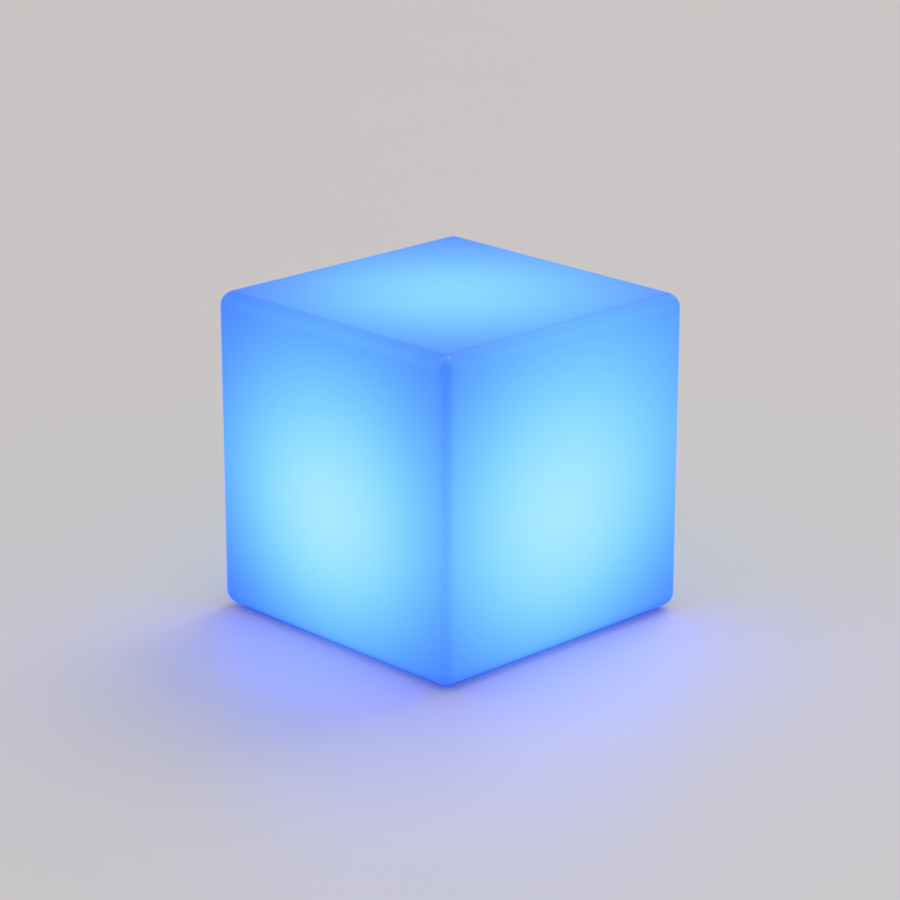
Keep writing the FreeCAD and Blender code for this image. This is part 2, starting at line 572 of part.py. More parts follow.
def make_cell(name, place):
    """Cylindrical cell lying along X, with a crimp groove near its positive end."""
    body = new_part(name, y=f"sizes.cell_middle_y + {place} * {CELL_PITCH}", z=CELL_AXIS)
    end, radius, edge = "sizes.cell_length / 2", "sizes.cell_radius", "sizes.cell_edge"
    crimp = f"{end} - sizes.crimp_place"
    turn(body, [
        (f"-{end}", "0"), (f"-{end}", f"{radius} - {edge}"), (f"-{end} + {edge}", radius),
        (f"{crimp} - {edge}", radius), (crimp, f"{radius} - sizes.crimp_depth"),
        (f"{crimp} + {edge}", radius), (f"{end} - {edge}", radius), (end, f"{radius} - {edge}"),
        (end, "0")], axis="H_Axis")


def make_tabs():
    """Nickel strips that join the cells at both ends."""
    body = new_part("battery_tabs", y="sizes.cell_middle_y", z=CELL_AXIS)
    reach = f"({CELL_PITCH} + sizes.tab_width / 2)"
    end = "sizes.cell_length / 2"
    for near, far in ((f"-{TAB_FACE}", f"-{end}"), (end, TAB_FACE)):
        box(body, (near, far), around("0", reach), around("0", "sizes.tab_width / 2"))


def make_cradle():
    """Tray with three troughs, end walls and two screw lugs."""
    body = new_part("battery_cradle", y="sizes.cell_middle_y", z=PAN_INSIDE)
    box(body, around("0", CRADLE_END), around("0", CRADLE_SIDE), ("0", "sizes.cradle_height"))
    for end in ("-1", "1"):
        near, far = sorted((f"{end} * {TAB_FACE}", f"{end} * {CRADLE_END}"), key=value)
        box(body, (near, far), around("0", CRADLE_SIDE), ("sizes.cradle_height", "sizes.cradle_end_height"))
        low, high = sorted((f"{end} * {CRADLE_SIDE}", f"{end} * {CRADLE_REACH}"), key=value)
        box(body, around("0", "sizes.lug_half_width"), (low, high), ("0", "sizes.lug_height"))
        rod(body, "0", f"{end} * {LUG_MIDDLE}", "sizes.lug_floor", "sizes.lug_height - sizes.lug_floor",
            "sizes.small_shank + sizes.thread_fit", cut=True)
    for place in ("-1", "0", "1"):
        sketch = new_sketch(body, "YZ_Plane")
        draw_circle(sketch, f"{place} * {CELL_PITCH}", "sizes.cradle_floor + sizes.cell_radius",
                    "sizes.cell_radius + sizes.cell_fit")
        trough = body.newObject("PartDesign::Pocket", "trough")
        trough.Profile = sketch
        trough.Midplane = True
        bind(trough, Length=f"2 * {TAB_FACE}")


def make_strap():
    """Bar across the cells on two hollow pillars."""
    body = new_part("battery_strap", y="sizes.cell_middle_y", z=PAN_INSIDE)
    half = "sizes.lug_half_width"
    box(body, around("0", half), around("0", CRADLE_REACH), (CELL_TOP, STRAP_TOP))
    for end in ("-1", "1"):
        low, high = sorted((f"{end} * {CRADLE_SIDE}", f"{end} * {CRADLE_REACH}"), key=value)
        box(body, around("0", half), (low, high), ("sizes.lug_height", CELL_TOP))
        rod(body, "0", f"{end} * {LUG_MIDDLE}", "sizes.lug_height",
            f"{STRAP_TOP} - sizes.lug_height", "sizes.small_shank + sizes.thread_fit", cut=True)


def make_strap_screws():
    """Long screws down through the strap's pillars into the cradle's lugs."""
    body = new_part("strap_screws", y="sizes.cell_middle_y", z=f"{PAN_INSIDE} + {STRAP_TOP}")
    for end in ("-1", "1"):
        add_small_screw(body, "0", f"{end} * {LUG_MIDDLE}", f"({STRAP_TOP} - 2 * sizes.lug_floor)")


def add_small_screw(body, x, y, length):
    """Small screw pointing down from height 0, its head above with a socket."""
    rod(body, x, y, f"-{length}", length, "sizes.small_shank")
    rod(body, x, y, "0", "sizes.small_head_height", "sizes.small_head_radius")
    rod(body, x, y, "sizes.small_head_height / 2", "sizes.small_head_height / 2",
        "sizes.socket_radius", cut=True)


# ---- control board ----

def make_control_board():
    """Tee-shaped circuit board on four standoffs, its stem over the controls."""
    body = new_part("control_board", z=BOARD_SEAT)
    wide, stem = BOARD_HALF_WIDTH, "sizes.stem_half_width"
    back, step = f"{STANDOFF_BACK} + sizes.board_edge", f"{STANDOFF_FRONT} - sizes.board_edge"
    front = "sizes.control_y - sizes.stem_overhang"
    prism(body, [(f"-{stem}", front), (stem, front), (stem, step), (wide, step), (wide, back),
                 (f"-{wide}", back), (f"-{wide}", step), (f"-{stem}", step)],
          "0", "sizes.board_thickness")
    for x, y in standoff_places():
        rod(body, x, y, "0", "sizes.board_thickness",
            "sizes.small_shank + sizes.screw_clearance", cut=True)


def make_board_screws():
    """Screws of the control board."""
    body = new_part("board_screws", z=BOARD_TOP)
    for x, y in standoff_places():
        add_small_screw(body, x, y, "(sizes.board_thickness + sizes.small_grip)")


def make_components():
    """Parts soldered to the control board: chips, coils, capacitors and the status chip below."""
    body = new_part("board_components", z=BOARD_TOP)
    chip = ("sizes.chip_package / 2", "sizes.chip_package_height")
    coil = ("sizes.coil_side / 2", "sizes.coil_height")
    row_front = "(sizes.cell_middle_y - sizes.part_row)"
    row_back = "(sizes.cell_middle_y + sizes.part_row)"
    for place, y, (half, height) in (("-1", row_back, chip), ("0", row_back, chip), ("1", row_back, coil),
                                     ("-1", row_front, coil)):
        box(body, around(f"{place} * sizes.part_spacing", half), around(y, half), ("0", height))
    for place in ("0", "1"):
        rod(body, f"{place} * sizes.part_spacing", row_front, "0", "sizes.capacitor_height",
            "sizes.capacitor_radius")
    half = "sizes.status_chip_side / 2"
    under = "-sizes.board_thickness"
    box(body, around("0", half), around("sizes.control_y", half),
        (f"{under} - sizes.status_chip_height", under))


# ---- controls on the underside ----

def bezel_outline(mouth, barrel):
    """Profile of a panel bezel and its barrel, from the mouth round to the barrel's inner end."""
    return [
        (mouth, BEZEL_FACE), ("sizes.bezel_radius - sizes.bezel_edge", BEZEL_FACE),
        ("sizes.bezel_radius", f"{BEZEL_FACE} + sizes.bezel_edge"),
        ("sizes.bezel_radius", "-sizes.seal_thickness"), (barrel, "-sizes.seal_thickness"),
        (barrel, "sizes.switch_length"), ("0", "sizes.switch_length")]


def make_switch():
    """Push switch: barrel with a bezel and a stepped bore, its washer and its nut."""
    body = new_part("switch_barrel", "-sizes.control_x", "sizes.control_y", HOUSING_BASE)
    lip = f"({BEZEL_FACE} + sizes.switch_lip)"
    turn(body, bezel_outline("sizes.switch_mouth", "sizes.switch_radius") + [
        ("0", CHAMBER_TOP), ("sizes.switch_bore", CHAMBER_TOP), ("sizes.switch_bore", lip),
        ("sizes.switch_mouth", lip)])
    make_washer("switch_seal", "-sizes.control_x", "sizes.switch_radius")
    make_nut("switch_nut", "-sizes.control_x", "sizes.control_y", "sizes.switch_radius",
             "sizes.switch_nut_flats", "sizes.nut_height")


def make_washer(name, x, radius):
    """Flat rubber washer between a bezel and the underside."""
    body = new_part(name, x, "sizes.control_y", f"{HOUSING_BASE} - sizes.seal_thickness")
    inner = f"{radius} + sizes.seat_fit"
    turn(body, [(inner, "0"), ("sizes.bezel_radius", "0"), ("sizes.bezel_radius", "sizes.seal_thickness"),
                (inner, "sizes.seal_thickness")])


def make_nut(name, x, y, bore, flats, height):
    """Hexagon nut on the pan floor."""
    body = new_part(name, x, y, PAN_INSIDE)
    sketch = new_sketch(body, "XY_Plane")
    corner = f"{flats} / 2 / cos(30)"
    draw_polygon(sketch, [(f"{corner} * cos({angle})", f"{corner} * sin({angle})")
                          for angle in range(0, 360, 60)])
    draw_circle(sketch, "0", "0", f"{bore} + sizes.seat_fit")
    raise_sketch(body, sketch, height)


def make_button():
    """Push button: dished cap through the bezel, shoulder behind its lip, plunger above."""
    body = new_part("power_button", "-sizes.control_x", "sizes.control_y", HOUSING_BASE)
    face, edge = f"({BEZEL_FACE} - sizes.button_proud)", "sizes.button_edge"
    cap, shoulder = "sizes.switch_mouth - sizes.slide_fit", "sizes.switch_bore - sizes.slide_fit"
    dish = f"{face} + sizes.button_dish"
    turn(body, [
        ("0", dish), (f"{cap} - 3 * {edge}", dish), (f"{cap} - 2 * {edge}", face),
        (f"{cap} - {edge}", face), (cap, f"{face} + {edge}"), (cap, SHOULDER_SEAT),
        (shoulder, SHOULDER_SEAT), (shoulder, SHOULDER_TOP), ("sizes.plunger_radius", SHOULDER_TOP),
        ("sizes.plunger_radius", f"{SHOULDER_TOP} + sizes.plunger_length"),
        ("0", f"{SHOULDER_TOP} + sizes.plunger_length")])


def make_return_dome():
    """Silicone skirt that pushes the button back: crown on the shoulder, foot on the inner end."""
    body = new_part("return_dome", "-sizes.control_x", "sizes.control_y",
                    f"{HOUSING_BASE} + {SHOULDER_TOP}")
    foot, crown, skin = "sizes.return_foot_radius", "sizes.return_crown_radius", "sizes.return_skin"
    top, ring = "sizes.return_height", "sizes.return_ring"
    turn(body, [
        (f"{crown} - {skin}", "0"), (crown, "0"), (crown, ring), (f"{foot} - {skin}", f"{top} - {ring}"),
        (foot, f"{top} - {ring}"), (foot, top), (f"{foot} - 2 * {skin}", top),
        (f"{foot} - 2 * {skin}", f"{top} - {ring}"), (f"{crown} - {skin}", ring)])


def make_jack():
    """Charging socket with its centre pin, washer and nut."""
    body = new_part("charge_jack", "sizes.control_x", "sizes.control_y", HOUSING_BASE)
    root = "sizes.jack_depth + sizes.pin_root"
    turn(body, bezel_outline("sizes.jack_bore", "sizes.jack_radius") + [
        ("0", root), ("sizes.pin_radius", root), ("sizes.pin_radius", "sizes.jack_depth"),
        ("sizes.jack_bore", "sizes.jack_depth")])
    pin = new_part("jack_pin", "sizes.control_x", "sizes.control_y", HOUSING_BASE)
    radius, tip = "sizes.pin_radius", f"({BEZEL_FACE} + sizes.pin_recess)"
    turn(pin, [("0", tip), (f"{radius} - sizes.pin_edge", tip), (radius, f"{tip} + sizes.pin_edge"),
               (radius, root), ("0", root)])
    make_washer("jack_seal", "sizes.control_x", "sizes.jack_radius")
    make_nut("jack_nut", "sizes.control_x", "sizes.control_y", "sizes.jack_radius",
             "sizes.jack_nut_flats", "sizes.nut_height")


def make_cover():
    """Rubber cover over the socket: disc, neck to the hinge, pull tab and a tapered stub."""
    body = new_part("charge_cover", "sizes.control_x", "sizes.control_y", HOUSING_BASE)
    rod(body, "0", "0", COVER_FACE, "sizes.cover_thickness", "sizes.cover_radius")
    box(body, around("0", "sizes.cover_neck_half_width"),
        ("0", "sizes.hinge_reach - sizes.hinge_gap / 2"), (COVER_FACE, COVER_TOP))
    box(body, around("0", "sizes.cover_tab_half_width"), ("-sizes.cover_tab_reach", "0"),
        (COVER_FACE, COVER_TOP))
    bore = "sizes.pin_radius + sizes.stub_bore_gap"
    root = "sizes.jack_bore - sizes.stub_gap"
    tip = f"{COVER_TOP} + sizes.stub_height"
    turn(body, [(bore, COVER_TOP), (root, COVER_TOP), (f"{root} - sizes.stub_taper", tip), (bore, tip)])


def make_anchor():
    """Fixed end of the rubber cover: pad under the floor, stem through it, barb above."""
    body = new_part("cover_anchor", "sizes.control_x", "sizes.control_y + sizes.hinge_reach",
                    HOUSING_BASE)
    middle, stem = "sizes.anchor_length / 2", "sizes.anchor_stem_radius"
    box(body, around("0", "sizes.cover_neck_half_width"), ("sizes.hinge_gap / 2", "sizes.anchor_length"),
        (COVER_FACE, "0"))
    rod(body, "0", middle, "0", "sizes.pan_floor", stem)
    rod(body, "0", middle, "sizes.pan_floor", "sizes.anchor_barb_height", f"{stem} + sizes.anchor_barb")


def make_status_pipe():
    """Clear rod that shows the status chip's light on the underside."""
    body = new_part("status_pipe", y="sizes.control_y", z=HOUSING_BASE)
    radius, collar = "sizes.pipe_radius", "sizes.pipe_radius + sizes.pipe_collar"
    edge, proud = "sizes.pipe_edge", "sizes.pipe_proud"
    top = f"sizes.pan_floor + {BOARD_RISE} - sizes.status_chip_height"
    collar_top = "sizes.pan_floor + sizes.pipe_collar_height"
    turn(body, [
        ("0", f"-{proud}"), (f"{radius} - {edge}", f"-{proud}"), (radius, f"{edge} - {proud}"),
        (radius, "sizes.pan_floor"), (collar, "sizes.pan_floor"), (collar, collar_top),
        (radius, collar_top), (radius, top), ("0", top)])


def make_vent():
    """Pressure vent: round head below with a breathing hole, stem through the floor, nut above."""
    body = new_part("vent_plug", "sizes.vent_x", "sizes.vent_y", HOUSING_BASE)
    stem, head, edge = "sizes.vent_radius", "sizes.vent_radius + sizes.vent_head", "sizes.vent_edge"
    face, hole = "-sizes.vent_head_height", "sizes.vent_hole"
    top = "sizes.pan_floor + sizes.vent_nut_height"
    depth = f"{face} + sizes.vent_hole_depth"
    turn(body, [
        (hole, face), (f"{head} - {edge}", face), (head, f"{face} + {edge}"), (head, "0"), (stem, "0"),
        (stem, top), ("0", top), ("0", depth), (hole, depth)])
    make_nut("vent_nut", "sizes.vent_x", "sizes.vent_y", stem, "sizes.vent_nut_flats",
             "sizes.vent_nut_height")


# ---- wiring ----

def lay_cable(points, across_axis):
    """Solids of one cable through right-angled corners: straight runs and tangent quarter bends."""
    directions = (across_axis, FreeCAD.Vector(0, 0, 1))
    bend = "sizes.lead_bend"

    def spot(pair):
        return directions[0] * value(pair[0]) + directions[1] * value(pair[1])

    def step_from(corner, other):
        """Point one bend radius away from a corner towards another point, still as expressions."""
        moved = []
        for here, there in zip(corner, other):
            gap = value(there) - value(here)
            way = 0 if abs(gap) < 0.001 else (1 if gap > 0 else -1)
            moved.append(f"({here} + {way} * {bend})")
        return tuple(moved)

    def seat(thing, pair):
        across = "x" if across_axis.x else "y"
        bind(thing, **{f"Placement__Base__{across}": pair[0], "Placement__Base__z": pair[1]})

    pieces = []
    start = points[0]
    for index in range(1, len(points)):
        last = index == len(points) - 1
        stop = points[index] if last else step_from(points[index], points[index - 1])
        low, high = sorted((start, stop), key=lambda pair: value(f"({pair[0]}) + ({pair[1]})"))
        run = doc.addObject("Part::Cylinder", "run")
        run.Placement.Rotation = FreeCAD.Rotation(directions[1], spot(high) - spot(low))
        seat(run, low)
        bind(run, Radius="sizes.lead_radius",
             Height=f"({high[0]}) - ({low[0]}) + ({high[1]}) - ({low[1]})")
        pieces.append(run)
        if last:
            break
        start = step_from(points[index], points[index + 1])
        middle = tuple(f"({before} + {after} - ({corner}))"
                       for before, after, corner in zip(stop, start, points[index]))
        first, second = spot(stop) - spot(middle), spot(start) - spot(middle)
        corner_piece = doc.addObject("Part::Torus", "bend")
        corner_piece.Angle3 = 90
        corner_piece.Placement.Rotation = FreeCAD.Rotation(
            first, second, first.cross(second), "ZXY")
        seat(corner_piece, middle)
        bind(corner_piece, Radius1=bend, Radius2="sizes.lead_radius")
        pieces.append(corner_piece)
    return pieces


def new_cable(name, routes, across_axis, x="0", y="0", z="0"):
    """One sub-part from the runs and bends of its routes."""
    cable = doc.addObject("Part::MultiFuse", name)
    cable.Label = name
    cable.Shapes = [piece for route in routes for piece in lay_cable(route, across_axis)]
    bind(cable, Placement__Base__x=x, Placement__Base__y=y, Placement__Base__z=z)
    SUB_PARTS.append(cable)


def make_leads():
    """Cables from the cells, the socket, the switch and the light board to the control board."""
    along_x, along_y = FreeCAD.Vector(1, 0, 0), FreeCAD.Vector(0, 1, 0)
    level = f"({BOARD_RISE} + sizes.board_thickness + sizes.lead_height)"
    from_tab = "(sizes.cradle_floor + sizes.cell_radius + sizes.tab_solder)"
    battery_routes = []
    for way in ("-1", "1"):
        out = f"{way} * ({BOARD_HALF_WIDTH} + sizes.lead_swing)"
        plug = f"{way} * ({POWER_PLUG_X} + sizes.plug_half_width)"
        battery_routes.append([(f"{way} * {TAB_FACE}", from_tab), (out, from_tab), (out, level),
                               (plug, level)])
    new_cable("battery_lead", battery_routes, along_x, y="sizes.cell_middle_y", z=PAN_INSIDE)
    for name, way in (("switch_lead", "-1"), ("jack_lead", "1")):
        tail = f"{way} * sizes.control_x"
        plug = f"{way} * (sizes.control_plug_x + sizes.plug_half_width)"
        new_cable(name, [[(tail, "sizes.switch_length"), (tail, f"sizes.pan_floor + {level}"),
                          (plug, f"sizes.pan_floor + {level}")]],
                  along_x, y="sizes.control_y", z=HOUSING_BASE)
    high = f"({LIGHT_BOARD_TOP} - {BOARD_TOP} + sizes.lead_height)"
    front = "(sizes.light_plug_y - sizes.plug_half_width)"
    new_cable("led_lead", [[(front, "sizes.lead_height"), ("sizes.lead_hole_y", "sizes.lead_height"),
                            ("sizes.lead_hole_y", high), (front, high)]], along_y, z=BOARD_TOP)


def make_connectors():
    """Small plug-in housings where the leads end."""
    body = new_part("lead_connectors", z=BOARD_TOP)
    half = "sizes.plug_half_width"
    tall = ("0", "sizes.plug_height")
    for way in ("-1", "1"):
        box(body, around(f"{way} * {POWER_PLUG_X}", half), around("sizes.cell_middle_y", half), tall)
        box(body, around(f"{way} * sizes.control_plug_x", half), around("sizes.control_y", half), tall)
    rise = f"({LIGHT_BOARD_TOP} - {BOARD_TOP})"
    for low in ("0", rise):
        box(body, around("0", half), around("sizes.light_plug_y", half),
            (low, f"{low} + sizes.plug_height"))


# ---- whole assembly ----

make_shell()
make_inserts()
for name, side_x, side_y in (("foot_front_left", -1, -1), ("foot_front_right", 1, -1),
                             ("foot_rear_left", -1, 1), ("foot_rear_right", 1, 1)):
    make_foot(name, side_x, side_y)
make_housing()
make_gasket()
make_screw_ring("flange_screws", f"{HOUSING_BASE} + sizes.counterbore_depth", FLANGE_SCREW_CIRCLE,
                "sizes.flange_screw_count", "wide", WIDE_LENGTH, upward=True)
make_light_plate()
make_light_board()
make_light_chips()
make_screw_ring("led_plate_screws", LIGHT_BOARD_SEAT, POST_CIRCLE, "sizes.post_count", "small",
                "(sizes.plate_thickness + sizes.small_grip)", turned=90)
make_receiver()
make_dome_seal()
make_dome()
make_dome_ring()
make_screw_ring("dome_screws", f"{RING_SEAT} + sizes.ring_thickness", DOME_SCREW_CIRCLE,
                "sizes.dome_screw_count", "small",
                "(sizes.ring_thickness + sizes.dome_flange + sizes.small_grip)")
for name, place in (("battery_cell_1", "-1"), ("battery_cell_2", "0"), ("battery_cell_3", "1")):
    make_cell(name, place)
make_tabs()
make_cradle()
make_strap()
make_strap_screws()
make_control_board()
make_board_screws()
make_components()
make_switch()
make_button()
make_return_dome()
make_jack()
make_cover()
make_anchor()
make_status_pipe()
make_vent()
make_leads()
make_connectors()
doc.recompute()

for thing in doc.Objects:
    if "Invalid" in thing.State or "Error" in thing.State:
        raise RuntimeError(f"{thing.Label} could not be computed: {thing.State}")
os.makedirs("parts", exist_ok=True)
for body in SUB_PARTS:
    if body.Shape.isNull() or not body.Shape.isValid():
        raise RuntimeError(f"{body.Label} has no valid shape")
    body.Shape.exportStep(f"parts/{body.Label}.step")
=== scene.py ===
# %% [markdown]
# # LED cube light
# A glowing cube seat: a hollow shell of milky plastic, lit from inside by a sealed module that is
# screwed into a well in its underside. This lesson dresses the finished solids of the light for a
# picture. The solids could be imported and moved about by hand, but here they are loaded as a
# fixed frame, so that every new piece is made straight in its place, in metres, with the floor at
# height zero, and the picture can't drift away from the real sizes.

# %% Load the solids
import json
import math
import bpy
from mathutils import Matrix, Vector


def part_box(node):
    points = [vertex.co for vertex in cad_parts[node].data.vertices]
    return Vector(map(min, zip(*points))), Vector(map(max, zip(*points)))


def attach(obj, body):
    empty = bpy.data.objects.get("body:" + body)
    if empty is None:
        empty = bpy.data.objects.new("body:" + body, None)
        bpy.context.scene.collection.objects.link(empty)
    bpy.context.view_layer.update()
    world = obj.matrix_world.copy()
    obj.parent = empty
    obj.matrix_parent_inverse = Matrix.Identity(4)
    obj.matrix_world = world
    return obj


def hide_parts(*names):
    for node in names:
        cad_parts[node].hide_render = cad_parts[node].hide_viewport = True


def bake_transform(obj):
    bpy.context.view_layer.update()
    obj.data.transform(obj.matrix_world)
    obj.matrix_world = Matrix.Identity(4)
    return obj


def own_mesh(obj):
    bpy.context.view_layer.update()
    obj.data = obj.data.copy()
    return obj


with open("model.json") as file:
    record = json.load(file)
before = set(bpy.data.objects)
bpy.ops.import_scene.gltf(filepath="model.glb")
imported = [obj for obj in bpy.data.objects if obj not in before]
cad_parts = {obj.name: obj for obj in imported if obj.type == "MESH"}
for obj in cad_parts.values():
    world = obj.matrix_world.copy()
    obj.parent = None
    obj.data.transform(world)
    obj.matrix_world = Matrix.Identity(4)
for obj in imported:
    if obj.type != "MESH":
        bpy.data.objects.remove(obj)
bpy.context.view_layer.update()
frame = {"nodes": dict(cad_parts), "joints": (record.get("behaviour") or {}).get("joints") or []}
nodes = frame["nodes"]

# %% [markdown]
# ## Sizes that several cells share
# All sizes could be typed in where they are used. Instead the shell's sizes are read from its
# solid, so the picture follows the solids if they change. Only what a box doesn't tell is written
# here: the rounding of the edges, the wall, and the stepped well in the underside that takes the
# module.

# %% Sizes
MM = 0.001
shell_low, shell_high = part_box("diffuser_shell")
SIDE = shell_high[0] - shell_low[0]
HALF = SIDE / 2
SHELL_BASE = shell_low[2]
MIDDLE = (shell_low[2] + shell_high[2]) / 2
EDGE = 18 * MM
WALL = 4 * MM
WELL_DEPTH = 18 * MM
WELL_RADIUS = 100 * MM
OPENING_RADIUS = 75 * MM
print("shell side", round(SIDE, 4), "middle height", round(MIDDLE, 4))

# %% [markdown]
# ## The camera
# The photograph looks at one upright edge, slightly from above, through a long lens: the cube's
# upright lines stay almost parallel. A camera can be moved by hand until it fits, but a view is
# easier to adjust when it is written as a photographer would describe it: an angle round the cube,
# an angle above the floor, a distance and a lens.

# %% Camera
CAMERA_TURN = math.radians(46.01)
CAMERA_RISE = math.radians(18.55)
CAMERA_DISTANCE = 9.825 * SIDE
CAMERA_LENS = 129.19

target = Vector((0, 0, MIDDLE))
back = Vector((math.sin(CAMERA_TURN) * math.cos(CAMERA_RISE),
               -math.cos(CAMERA_TURN) * math.cos(CAMERA_RISE), math.sin(CAMERA_RISE)))
bpy.ops.object.camera_add(location=target + back * CAMERA_DISTANCE)
camera = bpy.context.object
camera.name = "view"
camera.rotation_mode = "QUATERNION"
camera.rotation_quaternion = (-back).to_track_quat("-Z", "Y")
camera.data.lens = CAMERA_LENS
camera.data.sensor_width = 36
camera.data.clip_end = 60
bpy.context.scene.camera = camera
print("camera at", tuple(round(x, 3) for x in camera.location))

# %% [markdown]
# ## Helpers for modelling
# Everything new is modelled as by hand: a primitive is added at its size and place, then worked
# on in edit mode. An operator acts on all that is selected, so each step first clears the
# selection. These few helpers do the steps that every piece needs: pick one piece, move its place
# into its mesh, apply one modifier, and cut one form out of another.


# %% Selecting, settling and cutting
def start_clean():
    """Object mode, nothing selected."""
    if bpy.context.mode != "OBJECT":
        bpy.ops.object.mode_set(mode="OBJECT")
    bpy.ops.object.select_all(action="DESELECT")


def only(piece):
    """Make one object the selected and active one."""
    start_clean()
    piece.select_set(True)
    bpy.context.view_layer.objects.active = piece
    return piece


def settle(piece, name):
    """Name a piece and move its place, turn and scale into its mesh."""
    only(piece)
    bpy.ops.object.transform_apply(location=True, rotation=True, scale=True)
    piece.name = name
    piece.data.name = name
    return piece


def apply_modifier(piece, kind, **settings):
    """Add one modifier, set it and apply it."""
    only(piece)
    modifier = piece.modifiers.new(kind.lower(), kind)
    for key, setting in settings.items():
        setattr(modifier, key, setting)
    bpy.ops.object.modifier_apply(modifier=modifier.name)


def carve(piece, tool, how="DIFFERENCE"):
    """Cut a tool object away from a piece, or join it on, and delete the tool."""
    apply_modifier(piece, "BOOLEAN", object=tool, operation=how, solver="EXACT")
    bpy.data.objects.remove(tool)


print("selecting, settling and cutting ready")

# %% [markdown]
# ## Three starting forms
# Almost every piece here is round or a rounded block. A cylinder serves as a drill, a cube with
# all its edges bevelled gives the shell, and everything turned starts as one point: it is
# extruded along an outline, and the outline is spun round its axis, as on a lathe. A lathe form
# could also be a curve with the Screw modifier, but a spun mesh is closed at once and can be cut
# further. A ring is turned the same way, from an outline that comes back to its first point.


# %% Cylinder, rounded block and turned form
def cylinder(radius, low, high, x=0.0, y=0.0, sides=64):
    """Upright cylinder between two heights."""
    start_clean()
    bpy.ops.mesh.primitive_cylinder_add(vertices=sides, radius=radius, depth=high - low,
                                        location=(x, y, (low + high) / 2))
    return settle(bpy.context.object, "tool")


def rounded_block(side, edge, middle, segments):
    """Cube with all its edges rounded."""
    start_clean()
    bpy.ops.mesh.primitive_cube_add(size=side, location=middle)
    block = settle(bpy.context.object, "block")
    bpy.ops.object.mode_set(mode="EDIT")
    bpy.ops.mesh.select_all(action="SELECT")
    bpy.ops.mesh.bevel(offset=edge, segments=segments, profile=0.5, affect="EDGES")
    bpy.ops.object.mode_set(mode="OBJECT")
    return block


def smooth(piece, degrees=35):
    """Smooth shading, with corners sharper than the angle kept crisp."""
    only(piece)
    bpy.ops.object.shade_smooth_by_angle(angle=math.radians(degrees))
    return piece


def turned(name, outline, x=0.0, y=0.0, steps=64):
    """Closed form spun from (radius, height) points: from axis to axis, or back to the first."""
    start_clean()
    bpy.ops.mesh.primitive_plane_add(size=MM)
    piece = bpy.context.object
    bpy.ops.object.mode_set(mode="EDIT")
    bpy.ops.mesh.select_all(action="SELECT")
    bpy.ops.mesh.merge(type="CENTER")
    bpy.ops.transform.translate(value=(outline[0][0], 0, outline[0][1]))
    for (radius, height), (next_radius, next_height) in zip(outline, outline[1:]):
        bpy.ops.mesh.extrude_vertices_move(TRANSFORM_OT_translate={
            "value": (next_radius - radius, 0, next_height - height)})
    bpy.ops.mesh.select_all(action="SELECT")
    bpy.ops.mesh.spin(steps=steps, angle=math.tau, center=(0, 0, 0), axis=(0, 0, 1))
    bpy.ops.mesh.select_all(action="SELECT")
    bpy.ops.mesh.remove_doubles(threshold=1e-6)
    bpy.ops.mesh.normals_make_consistent(inside=False)
    bpy.ops.object.mode_set(mode="OBJECT")
    piece.location = (x, y, 0)
    return settle(piece, name)


print("starting forms ready")

# %% [markdown]
# ## The shell
# The real shell is rotomoulded: plastic powder melts inside a turning mould, so walls are even and
# every edge is generously round. Solidify could give a thin cube its wall, but it would not leave
# the step of the well and the six screw bosses inside. So the hollow is made as a body of its own:
# a smaller rounded cube, with the well and the bosses cut out of it, is cut out of the outer form.

# %% Shell: outer form and hollow
shell = rounded_block(SIDE, EDGE, (0, 0, MIDDLE), segments=12)
hollow = rounded_block(SIDE - 2 * WALL, EDGE - WALL, (0, 0, MIDDLE), segments=6)
well_top = SHELL_BASE + WELL_DEPTH
carve(hollow, cylinder(WELL_RADIUS + WALL, 0, well_top + WALL, sides=96))
BOSS_CIRCLE = 84 * MM
BOSS_RADIUS = 7 * MM
BOSS_TOP = 40 * MM
boss_angles = [math.radians(60 * number) for number in range(6)]
for angle in boss_angles:
    carve(hollow, cylinder(BOSS_RADIUS, 0, BOSS_TOP, BOSS_CIRCLE * math.cos(angle),
                           BOSS_CIRCLE * math.sin(angle), sides=32))
carve(shell, hollow)
print("hollow shell faces:", len(shell.data.polygons))

# %% [markdown]
# ## Openings of the shell
# From below, the shell has a round well, an opening that the module passes through, a bore in each
# boss for its brass insert, and a shallow pocket for each foot. They could be inset and extruded
# from the bottom face, but cutting with cylinders keeps each one at its real size and place.

# %% Shell: well, opening, bores and foot pockets
carve(shell, cylinder(WELL_RADIUS, SHELL_BASE - WALL, well_top, sides=96))
carve(shell, cylinder(OPENING_RADIUS, well_top - WALL, well_top + 2 * WALL, sides=96))
INSERT_RADIUS = 3 * MM
INSERT_DEPTH = 14 * MM
INSERT_TOP = well_top + INSERT_DEPTH
for angle in boss_angles:
    carve(shell, cylinder(INSERT_RADIUS, well_top - WALL, INSERT_TOP,
                          BOSS_CIRCLE * math.cos(angle), BOSS_CIRCLE * math.sin(angle), sides=32))
FOOT_INSET = 45 * MM
FOOT_PLACE = HALF - FOOT_INSET
FOOT_POCKET = 15 * MM
FOOT_POCKET_DEPTH = 1.5 * MM
FOOT_POCKET_TOP = SHELL_BASE + FOOT_POCKET_DEPTH
corners = [(side_x * FOOT_PLACE, side_y * FOOT_PLACE) for side_y in (-1, 1) for side_x in (-1, 1)]
for x, y in corners:
    carve(shell, cylinder(FOOT_POCKET, SHELL_BASE - WALL, FOOT_POCKET_TOP, x, y, sides=48))
settle(shell, "glowing_shell")
smooth(shell)
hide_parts("diffuser_shell")
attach(shell, "cube_base")
print("shell faces:", len(shell.data.polygons))

# %% [markdown]
# ## Writing materials as sums
# A material is a graph of small nodes. Joined by hand, one node at a time, it hides the sum that
# it stands for. Wire is one output of a node, and it takes part in sums like a number: each
# operator adds the Math node that does it. A colour never goes through one, because it would turn
# grey.


